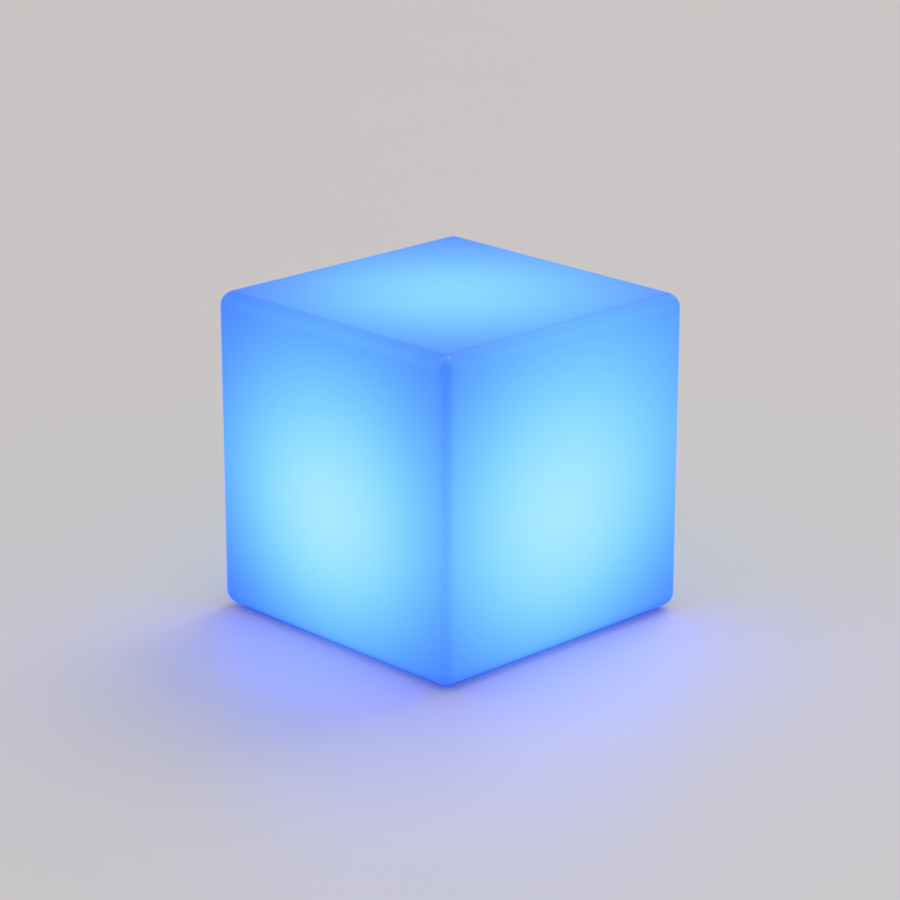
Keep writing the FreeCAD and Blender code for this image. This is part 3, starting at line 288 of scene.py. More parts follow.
# %% Wire
class Wire:
    """One output socket, so that arithmetic on it adds Math nodes."""

    def __init__(self, finish, socket):
        self.finish = finish
        self.socket = socket

    def sum(self, operation, first, second=0.0):
        return self.finish.node("ShaderNodeMath", {"operation": operation}, {0: first, 1: second})

    def __add__(self, other):
        return self.sum("ADD", self, other)

    def __radd__(self, other):
        return self.sum("ADD", other, self)

    def __sub__(self, other):
        return self.sum("SUBTRACT", self, other)

    def __rsub__(self, other):
        return self.sum("SUBTRACT", other, self)

    def __mul__(self, other):
        return self.sum("MULTIPLY", self, other)

    def __rmul__(self, other):
        return self.sum("MULTIPLY", other, self)

    def __truediv__(self, other):
        return self.sum("DIVIDE", self, other)

    def __pow__(self, other):
        return self.sum("POWER", self, other)

    def __abs__(self):
        return self.sum("ABSOLUTE", self)

    def least(self, other):
        return self.sum("MINIMUM", self, other)

    def most(self, other):
        return self.sum("MAXIMUM", self, other)


print("wires ready")

# %% [markdown]
# ## One material
# Finish is one material. It sets the numbers that are the same all over the piece on the shader
# itself, and has one method that adds any other node. The rest are short names for what is used
# again and again: the place of a point, a soft noise, a smooth step, a blend of two colours and a
# relief. All patterns read the place on the object, so they stay put when the camera moves.


# %% Finish
class Finish:
    """One material: its shader node and a way to add others."""

    def __init__(self, name, **constants):
        self.material = bpy.data.materials.new(name)
        self.material.use_nodes = True
        self.tree = self.material.node_tree
        self.shader = self.tree.nodes["Principled BSDF"]
        for key, number in constants.items():
            self.shader.inputs[key.replace("_", " ")].default_value = number

    def node(self, kind, settings=None, sockets=None, out=0):
        """Add a node, set its settings, then fill its sockets with values or wires."""
        new = self.tree.nodes.new(kind)
        for key, setting in (settings or {}).items():
            setattr(new, key, setting)
        for key, value in (sockets or {}).items():
            self.join(new.inputs[key], value)
        return Wire(self, new.outputs[out])

    def join(self, socket, value):
        if isinstance(value, Wire):
            self.tree.links.new(value.socket, socket)
        elif isinstance(value, tuple) and len(value) == 3 and socket.type == "RGBA":
            socket.default_value = (*value, 1.0)
        else:
            socket.default_value = value

    def surface(self, key, value):
        """Join one of the shader's own sockets."""
        self.join(self.shader.inputs[key], value)

    def place(self):
        """Where a point is on the object, in metres."""
        return self.node("ShaderNodeTexCoord", out="Object")

    def axes(self):
        """The three parts of the place as separate wires."""
        split = self.node("ShaderNodeSeparateXYZ", sockets={0: self.place()})
        return [Wire(self, split.socket.node.outputs[number]) for number in range(3)]

    def noise(self, scale, detail=2.0, roughness=0.5, place=None):
        """Soft random pattern between 0 and 1, with so many blotches in a metre."""
        return self.node("ShaderNodeTexNoise", sockets={
            "Vector": place or self.place(), "Scale": scale, "Detail": detail,
            "Roughness": roughness})

    def ease(self, wire, low, high, start=0.0, end=1.0):
        """Smooth step from start to end as the wire goes from low to high."""
        return self.node("ShaderNodeMapRange", {"interpolation_type": "SMOOTHSTEP"},
                         {"Value": wire, "From Min": low, "From Max": high,
                          "To Min": start, "To Max": end})

    def blend(self, mask, first, second):
        """Colour between two colours by a mask: a mix node keeps its colour sockets at 6 and 7."""
        return self.node("ShaderNodeMix", {"data_type": "RGBA"},
                         {0: mask, 6: first, 7: second}, out=2)

    def colour(self, red, green, blue):
        return self.node("ShaderNodeCombineColor", sockets={0: red, 1: green, 2: blue})

    def bump(self, height, strength, distance):
        """Relief: distance is the real height in metres of a full step."""
        relief = self.node("ShaderNodeBump", sockets={
            "Height": height, "Strength": strength, "Distance": distance}, out="Normal")
        self.surface("Normal", relief)


print("material tools ready")

# %% [markdown]
# ## The lit shell
# Light from the module spreads inside the shell and comes out through its milky wall. A
# translucent shell over a real lamp would need very many samples to be free of grain. Here the
# shell gives off the light itself, and simple optics say how much: it falls with the square of
# the distance from the lamp and grows with how squarely the wall faces it. On a rounded cube the
# place of a point says which way the wall faces: on a flat face one coordinate is at its limit,
# on an edge two are.

# %% Lit shell: which way the wall faces
GLOW_STRENGTH = 5.0
glow = Finish("lit_polyethylene", Roughness=0.36, Emission_Strength=GLOW_STRENGTH,
              Specular_IOR_Level=0.03, Coat_Roughness=0.34)
ROUNDING = EDGE / HALF
along = [axis / HALF for axis in glow.axes()]
along[2] = along[2] - MIDDLE / HALF
facing = [((abs(axis) - (1 - ROUNDING)) / ROUNDING).most(0.0).least(1.0) for axis in along]
print("rounding in half sides:", round(ROUNDING, 3))

# %% [markdown]
# ## How bright each spot is
# The light comes from a core over the dome. Its place, and every number here, was set by trying
# until the three visible faces had the brightness that the photograph shows. That puts it above
# the board and a little to one side. Why it is off the middle isn't known. A photograph of the
# real light could be used as a texture, but it would only fit the sides it shows. A rounded edge
# gets less light than a flat wall. Along a level edge that starts at once where the wall begins
# to turn; on an upright edge it comes on softly.

# %% Lit shell: brightness
CORE = (-0.021, -0.086, -0.275)
CORE_LIFT = 2.0
SPREAD = 0.85
SIDE_TILT = 0.066
RISE_LOSS = 0.138
LEVEL_LOSS = 0.235
EDGE_SHADE = 0.295
EDGE_ONSET = 0.35
EDGE_FADE = 0.8
UPRIGHT_SHADE = 0.66
UPRIGHT_LEAN = 0.12
LEAST_SQUARENESS = 0.3
reach = [abs(axis - spot) for axis, spot in zip(along, CORE)]
distance_squared = reach[0] * reach[0] + reach[1] * reach[1] + reach[2] * reach[2]
squareness = facing[0] * reach[0] + facing[1] * reach[1] + facing[2] * reach[2]
lift = (along[2] - (CORE[2] - CORE_LIFT)).most(0.001)
level_edge = (facing[0] + facing[1]) ** EDGE_ONSET * facing[2] ** EDGE_FADE
upright_edge = facing[0] * facing[1] * (1 + UPRIGHT_LEAN * along[2])
tilt = 1 + SIDE_TILT * (along[0] + along[1]) - RISE_LOSS * along[2]
losses = ((1 - EDGE_SHADE * level_edge) * (1 - UPRIGHT_SHADE * upright_edge)
          * (1 - LEVEL_LOSS * facing[2]))
bright = (squareness.most(LEAST_SQUARENESS) * lift) ** SPREAD / distance_squared * tilt * losses
print("brightness wired")

# %% [markdown]
# ## Colour of the light and skin of the shell
# The light is deep blue, and its bright spots turn to cyan. Each colour is a power of the
# brightness, which is simpler to fit than a colour ramp, and green levels off before it is full.
# Blue is full almost everywhere, so what it has beyond that shows only in the glow on the floor.
# It was fitted to that glow: stronger from the low parts and from the two sides that the
# photograph shows, weaker from the two that it hides, and held back in the lowest part, as the
# floor right under the cube is dark. The real light may well be even. The skin is satin plastic
# with the fine grain of a sand-blasted mould. Its coat is kept to the top corners, where the
# photograph has two soft highlights: all over, it would draw streaks along the edges that the
# photograph doesn't have.

# %% Lit shell: colour and skin
RED = (0.1215, 1.67)
GREEN = (0.474, 1.417)
GREEN_LIMIT = 0.865
BLUE = (1.7, 0.45)
BLUE_LEAN = 0.45
BLUE_SINK = 0.35
BLUE_LEAST = 1.0
LOW_LOSS = 0.4
LOW_RIM = -0.88
DEEP_BLUE = ((0.030, 0.030, 0.16), (0.036, 0.038, 0.19))
CORNER_COAT = 0.45
GRAIN_DEPTH = 0.00006
red = RED[0] * bright ** RED[1]
green = GREEN[0] * bright ** GREEN[1]
green = green / (1 + (green / GREEN_LIMIT) ** 3) ** (1 / 3)
low = glow.ease(along[2], -1.0, LOW_RIM, 1 - LOW_LOSS, 1.0)
front = facing[0] * along[0] - facing[1] * along[1]
spill = (1 + BLUE_LEAN * front) * (1 - BLUE_SINK * along[2])
blue = (BLUE[0] * bright ** BLUE[1] * spill).most(BLUE_LEAST) * low
glow.surface("Emission Color", glow.colour(red / GLOW_STRENGTH, green / GLOW_STRENGTH,
                                           blue / GLOW_STRENGTH))
glow.surface("Base Color", glow.blend(glow.noise(18.0, 3.0), *DEEP_BLUE))
within = glow.ease(facing[0].least(facing[1]), 0.0, 0.22)
below_top = glow.ease(facing[2], 0.985, 0.93)
above_side = glow.ease(facing[2], 0.5, 0.72)
glow.surface("Coat Weight", CORNER_COAT * within * below_top * above_side)
glow.bump(glow.noise(420.0, 3.0), 0.25, GRAIN_DEPTH)
shell.data.materials.clear()
shell.data.materials.append(glow.material)
print("lit shell finished")

# %% [markdown]
# ## Rubber feet
# Four soft feet carry the cube a few millimetres off the floor. The solid foot is a plain disc
# with a chamfer. A real one is moulded with a slightly hollow sole and two grip rings. They could
# be inset one after another, but one outline holds them all: it is spun round its axis, once for
# each corner, so that each foot has its own mesh.

# %% Feet
foot_low, foot_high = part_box("foot_front_left")
FOOT_RADIUS = (foot_high[0] - foot_low[0]) / 2
GROOVE = 0.8 * MM
SOLE_HOLLOW = 0.5 * MM
SOLE_MIDDLE = 4 * MM
GRIP_RINGS = (7 * MM, 10 * MM)
RIM_ROUNDING = MM


def foot_outline(top):
    """Sole with two rings, a rounded rim and a straight side, from axis to axis."""
    outline = [(0, SOLE_HOLLOW), (SOLE_MIDDLE, SOLE_HOLLOW), (SOLE_MIDDLE + SOLE_HOLLOW, 0)]
    for ring in GRIP_RINGS:
        outline += [(ring - GROOVE, 0), (ring - GROOVE / 2, GROOVE), (ring + GROOVE / 2, GROOVE),
                    (ring + GROOVE, 0)]
    for step in range(5):
        angle = math.radians(90 * step / 4)
        outline.append((FOOT_RADIUS - RIM_ROUNDING + RIM_ROUNDING * math.sin(angle),
                        RIM_ROUNDING - RIM_ROUNDING * math.cos(angle)))
    return outline + [(FOOT_RADIUS, top), (0, top)]


feet = []
for (x, y), place in zip(corners, ("front_left", "front_right", "rear_left", "rear_right")):
    foot = turned(f"rubber_foot_{place}", foot_outline(foot_high[2]), x, y)
    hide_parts(f"foot_{place}")
    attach(foot, "cube_base")
    feet.append(smooth(foot))
print("feet:", len(feet), "radius", round(FOOT_RADIUS, 4))

# %% [markdown]
# ## Screws of the flange
# Six socket-head screws hold the module against the shell. The solids show a round socket; the
# real key is hexagonal. The thread could be a true spiral, but it is hidden in the insert, so
# rings at the right pitch are enough. One screw is turned, a hexagon is cut into its head from
# below, and the other five are copies that are turned round the middle of the cube.

# %% Flange screws
screw_low, screw_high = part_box("flange_screws")
HEAD_RADIUS = 3.9 * MM
HEAD_HEIGHT = 2.4 * MM
SHANK_RADIUS = 1.95 * MM
KEY_RADIUS = 1.55 * MM
THREAD_PITCH = 0.7 * MM
THREAD_DEPTH = 0.3 * MM
PLAIN_SHANK = 3.5 * MM
KEY_DEPTH = 1.4 * MM
HEAD_BEVEL = 0.5 * MM
head_face = screw_low[2]
seat = head_face + HEAD_HEIGHT
outline = [(0, head_face), (HEAD_RADIUS - HEAD_BEVEL, head_face),
           (HEAD_RADIUS, head_face + HEAD_BEVEL), (HEAD_RADIUS, seat), (SHANK_RADIUS, seat)]
height = seat + PLAIN_SHANK
while height < screw_high[2] - MM:
    outline += [(SHANK_RADIUS, height), (SHANK_RADIUS - THREAD_DEPTH, height + THREAD_PITCH / 2)]
    height += THREAD_PITCH
outline += [(SHANK_RADIUS - 0.4 * MM, screw_high[2]), (0, screw_high[2])]
screw = turned("flange_screw_1", outline, BOSS_CIRCLE, 0, steps=32)
carve(screw, cylinder(KEY_RADIUS, head_face - MM, head_face + KEY_DEPTH, BOSS_CIRCLE, 0, sides=6))
screws = [screw]
for number in range(1, 6):
    only(screw)
    bpy.ops.object.duplicate(linked=False)
    copy = bpy.context.object
    bpy.ops.object.mode_set(mode="EDIT")
    bpy.ops.mesh.select_all(action="SELECT")
    bpy.ops.transform.rotate(value=-boss_angles[number], orient_axis="Z", orient_type="GLOBAL",
                             center_override=(0, 0, 0))
    bpy.ops.object.mode_set(mode="OBJECT")
    screws.append(settle(copy, f"flange_screw_{number + 1}"))
for piece in screws:
    smooth(piece)
    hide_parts("flange_screws")
    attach(piece, "cube_base")
print("screws:", len(screws), "head from", round(head_face, 4), "to", round(seat, 4))

# %% [markdown]
# ## The charging cover
# A soft rubber flap closes the charging socket: a disc with a pull tab and a neck that ends at a
# thin hinge. Its outline could be drawn point by point, but joining a disc and two blocks gives
# the same outline with true arcs. All sharp edges then get one small bevel, as rubber comes out
# of its mould, and the ring and the three grip bars are cut last, so that they stay crisp.

# %% Charging cover
cover_low, cover_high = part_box("charge_cover")
jack_low, jack_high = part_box("charge_jack")
COVER_X = (jack_low[0] + jack_high[0]) / 2
COVER_Y = (jack_low[1] + jack_high[1]) / 2
COVER_THICK = 1.45 * MM
COVER_RADIUS = 9 * MM
NECK_HALF = 5 * MM
TAB_HALF = 3 * MM
COVER_BEVEL = 0.3 * MM
RING_OUTER = 6.6 * MM
RING_INNER = 6.0 * MM
RING_DEPTH = 0.25 * MM
BAR_SPACING = 0.9
BAR_HALF_LENGTH = 2.2 * MM
BAR_HALF_WIDTH = 0.2 * MM
BAR_DEPTH = 0.3 * MM
cover_face = cover_low[2]
cover_back = cover_face + COVER_THICK


def block(west, east, south, north, low, high):
    """Box between limits, as a tool or a start."""
    start_clean()
    bpy.ops.mesh.primitive_cube_add(size=1, location=((west + east) / 2, (south + north) / 2,
                                                      (low + high) / 2))
    bpy.context.object.scale = (east - west, north - south, high - low)
    return settle(bpy.context.object, "block")


cover = cylinder(COVER_RADIUS, cover_face, cover_back, COVER_X, COVER_Y, sides=72)
carve(cover, block(COVER_X - NECK_HALF, COVER_X + NECK_HALF, COVER_Y, cover_high[1],
                   cover_face, cover_back), "UNION")
carve(cover, block(COVER_X - TAB_HALF, COVER_X + TAB_HALF, cover_low[1], COVER_Y,
                   cover_face, cover_back), "UNION")
apply_modifier(cover, "BEVEL", width=COVER_BEVEL, segments=3, limit_method="ANGLE",
               angle_limit=math.radians(50))
ring = cylinder(RING_OUTER, cover_face - MM, cover_face + RING_DEPTH, COVER_X, COVER_Y, sides=72)
carve(ring, cylinder(RING_INNER, cover_face - 2 * MM, cover_face + MM, COVER_X, COVER_Y, sides=72))
carve(cover, ring)
for bar in range(3):
    middle = cover_low[1] + (BAR_SPACING + BAR_SPACING * bar) * MM
    carve(cover, block(COVER_X - BAR_HALF_LENGTH, COVER_X + BAR_HALF_LENGTH,
                       middle - BAR_HALF_WIDTH, middle + BAR_HALF_WIDTH,
                       cover_face - MM, cover_face + BAR_DEPTH))
print("cover faces before its plug:", len(cover.data.polygons))

# %% [markdown]
# ## The plug of the cover
# Inside the cover a slightly tapered, hollow plug grips the socket and keeps the rain out. It is a
# turned form again. It is sunk a little into the cover before the two are joined, because faces
# that only touch are hard to join cleanly.

# %% Plug of the cover
PLUG_ROOT = 2.85 * MM
PLUG_TIP = 2.3 * MM
PLUG_BORE = 1.45 * MM
PLUG_SINK = 0.4 * MM
TIP_CHAMFER = 0.3 * MM
plug_top = cover_high[2]
plug_base = cover_back - PLUG_SINK
plug = turned("plug", [(0, plug_base), (PLUG_ROOT, plug_base), (PLUG_ROOT, cover_back),
                       (PLUG_TIP + 0.1 * MM, plug_top - TIP_CHAMFER),
                       (PLUG_TIP - 0.2 * MM, plug_top), (0, plug_top)], COVER_X, COVER_Y, steps=48)
carve(cover, plug, "UNION")
carve(cover, cylinder(PLUG_BORE, cover_back, plug_top + MM, COVER_X, COVER_Y, sides=32))
settle(cover, "rubber_cover")
smooth(cover)
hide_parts("charge_cover")
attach(cover, "cover")
print("cover faces:", len(cover.data.polygons))

# %% [markdown]
# ## The living hinge
# Between the moving cover and its fixed end, the rubber is thinned to a web. A rigid
# web would tear away on one side when the cover opens, so it is cut into narrow strips.

# %% Hinge of the cover
HINGE_Y = -28 * MM
WEB_HALF_WIDTH = 4.4 * MM
WEB_HALF_LENGTH = 0.7 * MM
WEB_LOW = 0.02 * MM
WEB_HIGH = 0.6 * MM
hinge_web = block(COVER_X - WEB_HALF_WIDTH, COVER_X + WEB_HALF_WIDTH, HINGE_Y - WEB_HALF_LENGTH,
                  HINGE_Y + WEB_HALF_LENGTH, cover_face + WEB_LOW, cover_face + WEB_HIGH)
bpy.ops.object.mode_set(mode="EDIT")
bpy.ops.mesh.select_all(action="SELECT")
bpy.ops.mesh.subdivide(number_cuts=7)
bpy.ops.object.mode_set(mode="OBJECT")
settle(hinge_web, "cover_hinge_web")
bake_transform(hinge_web)
print("hinge web at y", HINGE_Y)

# %% [markdown]
# ## The power button
# The red cap stands a little proud of its bezel. Its face is dished, so that a finger finds it
# without looking, and a fine raised ring runs round the dish. Behind the bezel's lip it widens to
# a shoulder that keeps it in, and a plunger reaches up to the contact. A bevelled cylinder would
# show the cap, but only an outline gives the dish, the ring and the rounded rim together.

# %% Power button
button_low, button_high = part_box("power_button")
BUTTON_X = (button_low[0] + button_high[0]) / 2
BUTTON_Y = (button_low[1] + button_high[1]) / 2
CAP_RADIUS = 4.32 * MM
SHOULDER_RADIUS = (button_high[0] - button_low[0]) / 2
PLUNGER_RADIUS = 1.5 * MM
PLUNGER_LENGTH = 2.6 * MM
PLUNGER_BEVEL = 0.3 * MM
DISH_DEPTH = 0.45 * MM
DISH_RADIUS = 2.9 * MM
DISH_STEPS = 6
RIDGE_INNER = 3.0 * MM
RIDGE_OUTER = 3.4 * MM
RIDGE_HEIGHT = 0.05 * MM
CAP_ROUNDING = 0.6 * MM
face = button_low[2]
shoulder_low = button_high[2] - 4.1 * MM
shoulder_high = button_high[2] - PLUNGER_LENGTH
outline = [(0, face + DISH_DEPTH)]
for step in range(1, DISH_STEPS + 1):
    radius = DISH_RADIUS * step / DISH_STEPS
    outline.append((radius, face + DISH_DEPTH * (1 - (step / DISH_STEPS) ** 2) + RIDGE_HEIGHT))
outline += [(RIDGE_INNER, face), (RIDGE_OUTER, face)]
for step in range(5):
    angle = math.radians(90 * step / 4)
    outline.append((CAP_RADIUS - CAP_ROUNDING + CAP_ROUNDING * math.sin(angle),
                    face + RIDGE_HEIGHT + CAP_ROUNDING * (1 - math.cos(angle))))
outline += [(CAP_RADIUS, shoulder_low), (SHOULDER_RADIUS, shoulder_low),
            (SHOULDER_RADIUS, shoulder_high), (PLUNGER_RADIUS, shoulder_high),
            (PLUNGER_RADIUS, button_high[2] - PLUNGER_BEVEL),
            (PLUNGER_RADIUS - PLUNGER_BEVEL, button_high[2]), (0, button_high[2])]
button = turned("button_cap", outline, BUTTON_X, BUTTON_Y, steps=64)
smooth(button)
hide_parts("power_button")
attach(button, "button")
print("button face at", round(face, 4), "shoulder radius", round(SHOULDER_RADIUS, 5))

# %% [markdown]
# ## The return skirt of the button
# A skirt of milky silicone pushes the button back out. Its narrow ring stands on the shoulder and
# its wide ring against the inner end of the barrel, so it has to flatten as the button goes in. A
# rigid skirt would stay as it is and the shoulder would run through it. Here it stays rigid; shape
# keys could flatten it. A hair's gap is left at the shoulder, so that the two never share a face.

# %% Return skirt
skirt_low, skirt_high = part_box("return_dome")
SKIRT_SKIN = 0.7 * MM
SKIRT_RING = 0.8 * MM
NARROW_RADIUS = 3 * MM
WIDE_RADIUS = (skirt_high[0] - skirt_low[0]) / 2
CONTACT_GAP = 0.02 * MM
narrow_end = skirt_low[2] + CONTACT_GAP
slope_low = skirt_low[2] + SKIRT_RING
slope_high = skirt_high[2] - SKIRT_RING
return_skirt = turned("return_skirt", [
    (NARROW_RADIUS - SKIRT_SKIN, narrow_end), (NARROW_RADIUS, narrow_end),
    (NARROW_RADIUS, slope_low), (WIDE_RADIUS - SKIRT_SKIN, slope_high), (WIDE_RADIUS, slope_high),
    (WIDE_RADIUS, skirt_high[2]), (WIDE_RADIUS - 2 * SKIRT_SKIN, skirt_high[2]),
    (WIDE_RADIUS - 2 * SKIRT_SKIN, slope_high), (NARROW_RADIUS - SKIRT_SKIN, slope_low),
    (NARROW_RADIUS - SKIRT_SKIN, narrow_end)], BUTTON_X, BUTTON_Y, steps=48)
smooth(return_skirt)
press = next(joint for joint in frame["joints"] if joint["name"] == "power_button_press")
travel = press["range_m"][1]
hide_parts("return_dome")
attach(return_skirt, "cube_base")
1 - travel / (skirt_high[2] - skirt_low[2])
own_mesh(return_skirt)
print("skirt keeps", round(1 - travel / (skirt_high[2] - skirt_low[2]), 3), "of its height")

# %% [markdown]
# ## Kinds of finish
# Each remaining solid keeps its shape and gets the finish of the real thing. Every piece could
# have a graph of its own, but most differ only in colour, gloss and grain. So there is one maker
# for each kind of surface: moulded plastic with an eroded grain, rubber with a pale bloom, and
# worked metal with fine scratches along one axis.


# %% Plastic, rubber and metal
def dress(piece, finish):
    """Give a piece one finish in place of whatever it had."""
    piece.data.materials.clear()
    piece.data.materials.append(finish.material)


def dress_nodes(finish, *names):
    """Give several solids the same finish by their material slots."""
    for name in names:
        for slot in nodes[name].material_slots:
            slot.material = finish.material
    print(finish.material.name, "->", ", ".join(names))


def shade(colour, factor):
    return tuple(factor * part for part in colour)


def moulded(name, colour, roughness=0.5, grain=1400.0, depth=0.00003):
    """Injection-moulded plastic: an even colour with a fine eroded grain and faint flow marks."""
    finish = Finish(name, IOR=1.5)
    flow = finish.noise(25.0, 3.0)
    finish.surface("Base Color", finish.blend(flow, shade(colour, 0.88), shade(colour, 1.1)))
    finish.surface("Roughness", finish.ease(finish.noise(160.0), 0.3, 0.7,
                                            roughness - 0.06, roughness + 0.08))
    finish.bump(finish.noise(grain, 3.0, 0.6), 0.5, depth)
    return finish


def rubber(name, colour, roughness=0.75):
    """Rubber: matt, with a pale bloom in soft patches and a slight orange-peel skin."""
    finish = Finish(name, IOR=1.52, Specular_IOR_Level=0.35)
    bloom = finish.ease(finish.noise(70.0, 5.0), 0.45, 0.8)
    bloomed = tuple(part * 0.8 + 0.03 for part in colour)
    finish.surface("Base Color", finish.blend(bloom, colour, bloomed))
    finish.surface("Roughness", finish.ease(finish.noise(300.0), 0.2, 0.8,
                                            roughness - 0.08, roughness + 0.08))
    finish.bump(finish.noise(700.0, 2.0), 0.4, 0.00005)
    return finish


def brushed(name, colour, roughness=0.32, stretch=(30.0, 1500.0, 1500.0)):
    """Worked metal: long fine scratches along one axis and a slightly uneven shine."""
    finish = Finish(name, Metallic=1.0)
    lines = finish.noise(1.0, 3.0, 0.6, finish.node("ShaderNodeMapping", sockets={
        "Vector": finish.place(), "Scale": stretch}))
    finish.surface("Base Color", finish.blend(finish.noise(90.0, 3.0),
                                              shade(colour, 0.86), colour))
    finish.surface("Roughness", finish.ease(lines, 0.3, 0.7, roughness - 0.08, roughness + 0.12))
    finish.bump(lines, 0.3, 0.00001)
    return finish


print("makers ready")

# %% [markdown]
# ## Rubber pieces
# Feet, cover, gaskets and seals are rubber, each of its own hardness. Hard rubber shines a little,
# and the foamed gasket not at all. The seal of the dome is silicone, which is usually brick red.

# %% Rubber pieces
black_rubber = rubber("sole_rubber", (0.030, 0.030, 0.034))
for foot in feet:
    dress(foot, black_rubber)
cover_rubber = rubber("soft_cover_rubber", (0.036, 0.036, 0.041), roughness=0.66)
dress(cover, cover_rubber)
dress(hinge_web, cover_rubber)
dress_nodes(cover_rubber, "cover_anchor")
dress_nodes(rubber("foam_gasket", (0.055, 0.055, 0.060), roughness=0.9),
            "flange_gasket", "switch_seal", "jack_seal")
dress_nodes(rubber("red_silicone", (0.42, 0.075, 0.045), roughness=0.5), "dome_seal")

# %% [markdown]
# ## Moulded pieces
# The housing is grey glass-filled plastic with a coarse grain. The ring round the dome is white,
# to throw stray light back. The bezels of the button and the socket are glossier, as they are
# made in polished moulds, and connectors are left in the cream of natural nylon.

# %% Moulded pieces
dress_nodes(moulded("grey_moulding", (0.115, 0.12, 0.128)), "module_housing")
dress_nodes(moulded("white_moulding", (0.78, 0.79, 0.80), roughness=0.42), "dome_ring")
dress_nodes(moulded("black_moulding", (0.045, 0.045, 0.050), roughness=0.55),
            "battery_cradle", "battery_strap")
dress_nodes(moulded("bezel_plastic", (0.025, 0.025, 0.028), roughness=0.3, depth=0.00001),
            "switch_barrel", "charge_jack")
dress_nodes(moulded("porous_plastic", (0.06, 0.06, 0.064), roughness=0.5), "vent_plug")
dress_nodes(moulded("natural_nylon", (0.80, 0.78, 0.70), roughness=0.38, depth=0.00002),
            "lead_connectors")
red_cap = moulded("red_cap", (0.42, 0.018, 0.016), roughness=0.26, grain=500.0, depth=0.000005)
dress(button, red_cap)

# %% [markdown]
# ## Metal pieces
# Screws are zinc-plated and have no direction in their shine. The plate under the lights is rolled
# aluminium, scratched along one way, and the strips that join the batteries are dull nickel.

# %% Metal pieces
zinc = brushed("zinc_steel", (0.62, 0.63, 0.66), 0.3, (700.0, 700.0, 700.0))
for piece in screws:
    dress(piece, zinc)
dress_nodes(zinc, "led_plate_screws", "dome_screws", "strap_screws", "board_screws")
dress_nodes(brushed("plated_nuts", (0.72, 0.71, 0.69), 0.2, (60.0, 60.0, 1200.0)),
            "switch_nut", "jack_nut", "vent_nut", "jack_pin")
dress_nodes(brushed("rolled_aluminium", (0.80, 0.81, 0.82)), "led_plate")
dress_nodes(brushed("nickel_strip", (0.70, 0.67, 0.60), 0.28, (1500.0, 30.0, 1500.0)),
            "battery_tabs")

# %% [markdown]
# ## Brass inserts
# An insert is knurled so that the plastic grips it. The diamonds are too fine to be cut into the
# mesh, so two slanting waves make them as a relief; only their crossing ridges stand up.

# %% Brass inserts
brass = Finish("knurled_brass", Metallic=1.0)
ridges = []
for slant in (1.0, -1.0):
    turned_place = brass.node("ShaderNodeMapping", {"vector_type": "TEXTURE"}, {
        "Vector": brass.place(), "Rotation": (0.0, slant * math.radians(30), 0.0)})
    ridges.append(brass.node("ShaderNodeTexWave", {"bands_direction": "X"}, {
        "Vector": turned_place, "Scale": 320.0}, out="Fac"))
brass.surface("Base Color", brass.blend(brass.noise(200.0, 3.0), (0.52, 0.34, 0.10),
                                        (0.72, 0.50, 0.19)))
brass.surface("Roughness", brass.ease(brass.noise(500.0), 0.2, 0.8, 0.22, 0.38))
brass.bump(ridges[0] * ridges[1], 0.6, 0.0001)
dress_nodes(brass, "threaded_inserts")

# %% [markdown]
# ## Circuit boards
# Solder mask is a glossy lacquer over copper. Where a track runs beneath, it is a little lighter
# and stands up by a hair. A drawn layout would need a picture. Tracks run straight and turn in
# square corners, which is just what a cell pattern measured along the axes gives at its borders,
# and round pads come from a finer cell pattern.


# %% Circuit boards
def board(name, mask, track, pad):
    """Solder mask over square tracks, with small tinned pads."""
    finish = Finish(name, Coat_Roughness=0.15, IOR=1.5)
    far, near = [finish.node("ShaderNodeTexVoronoi", {"feature": which, "distance": "CHEBYCHEV"},
                             {"Vector": finish.place(), "Scale": 130.0, "Randomness": 0.8},
                             out="Distance") for which in ("F2", "F1")]
    tracks = finish.ease(far - near, 0.08, 0.05)
    dots = finish.node("ShaderNodeTexVoronoi", {"feature": "F1"},
                       {"Vector": finish.place(), "Scale": 210.0, "Randomness": 0.7},
                       out="Distance")
    pads = finish.ease(dots, 0.16, 0.13)
    lacquer = finish.blend(tracks, mask, track)
    finish.surface("Base Color", finish.blend(pads, lacquer, pad))
    finish.surface("Metallic", pads)
    finish.surface("Coat Weight", 0.6 * (1 - pads))
    finish.surface("Roughness", finish.ease(finish.noise(300.0), 0.2, 0.8, 0.25, 0.34))
    finish.bump(tracks + pads, 0.5, 0.00004)
    return finish


dress_nodes(board("green_lacquer", (0.012, 0.13, 0.045), (0.03, 0.22, 0.07), (0.74, 0.72, 0.68)),
            "control_board")
dress_nodes(board("white_lacquer", (0.80, 0.81, 0.79), (0.86, 0.87, 0.85), (0.76, 0.74, 0.70)),
            "led_board")

# %% [markdown]
# ## Light chips
# Each chip is a white ceramic square with a round window that gives off the light. The 24 chips
# are one solid in two rings, so a window can't be a piece of its own. It is found from the angle
# round the board: the angle is cut into as many equal parts as the ring has chips, and the
# distance from the middle of a part is measured.

# %% Light chips
chips = Finish("light_chips", Roughness=0.22, IOR=1.5, Emission_Strength=3.0)
chip_x, chip_y = chips.axes()[:2]
from_axis = (chip_x * chip_x + chip_y * chip_y) ** 0.5
angle = chips.node("ShaderNodeMath", {"operation": "ARCTAN2"}, {0: chip_y, 1: chip_x})


def window(ring_radius, count):
    """Distance from the middle of the nearest chip in one ring."""
    share = chips.node("ShaderNodeMath", {"operation": "WRAP"},
                       {0: angle * (count / math.tau), 1: -0.5, 2: 0.5})
    sideways = share * (math.tau / count * ring_radius)
    outwards = from_axis - ring_radius
    return (sideways * sideways + outwards * outwards) ** 0.5


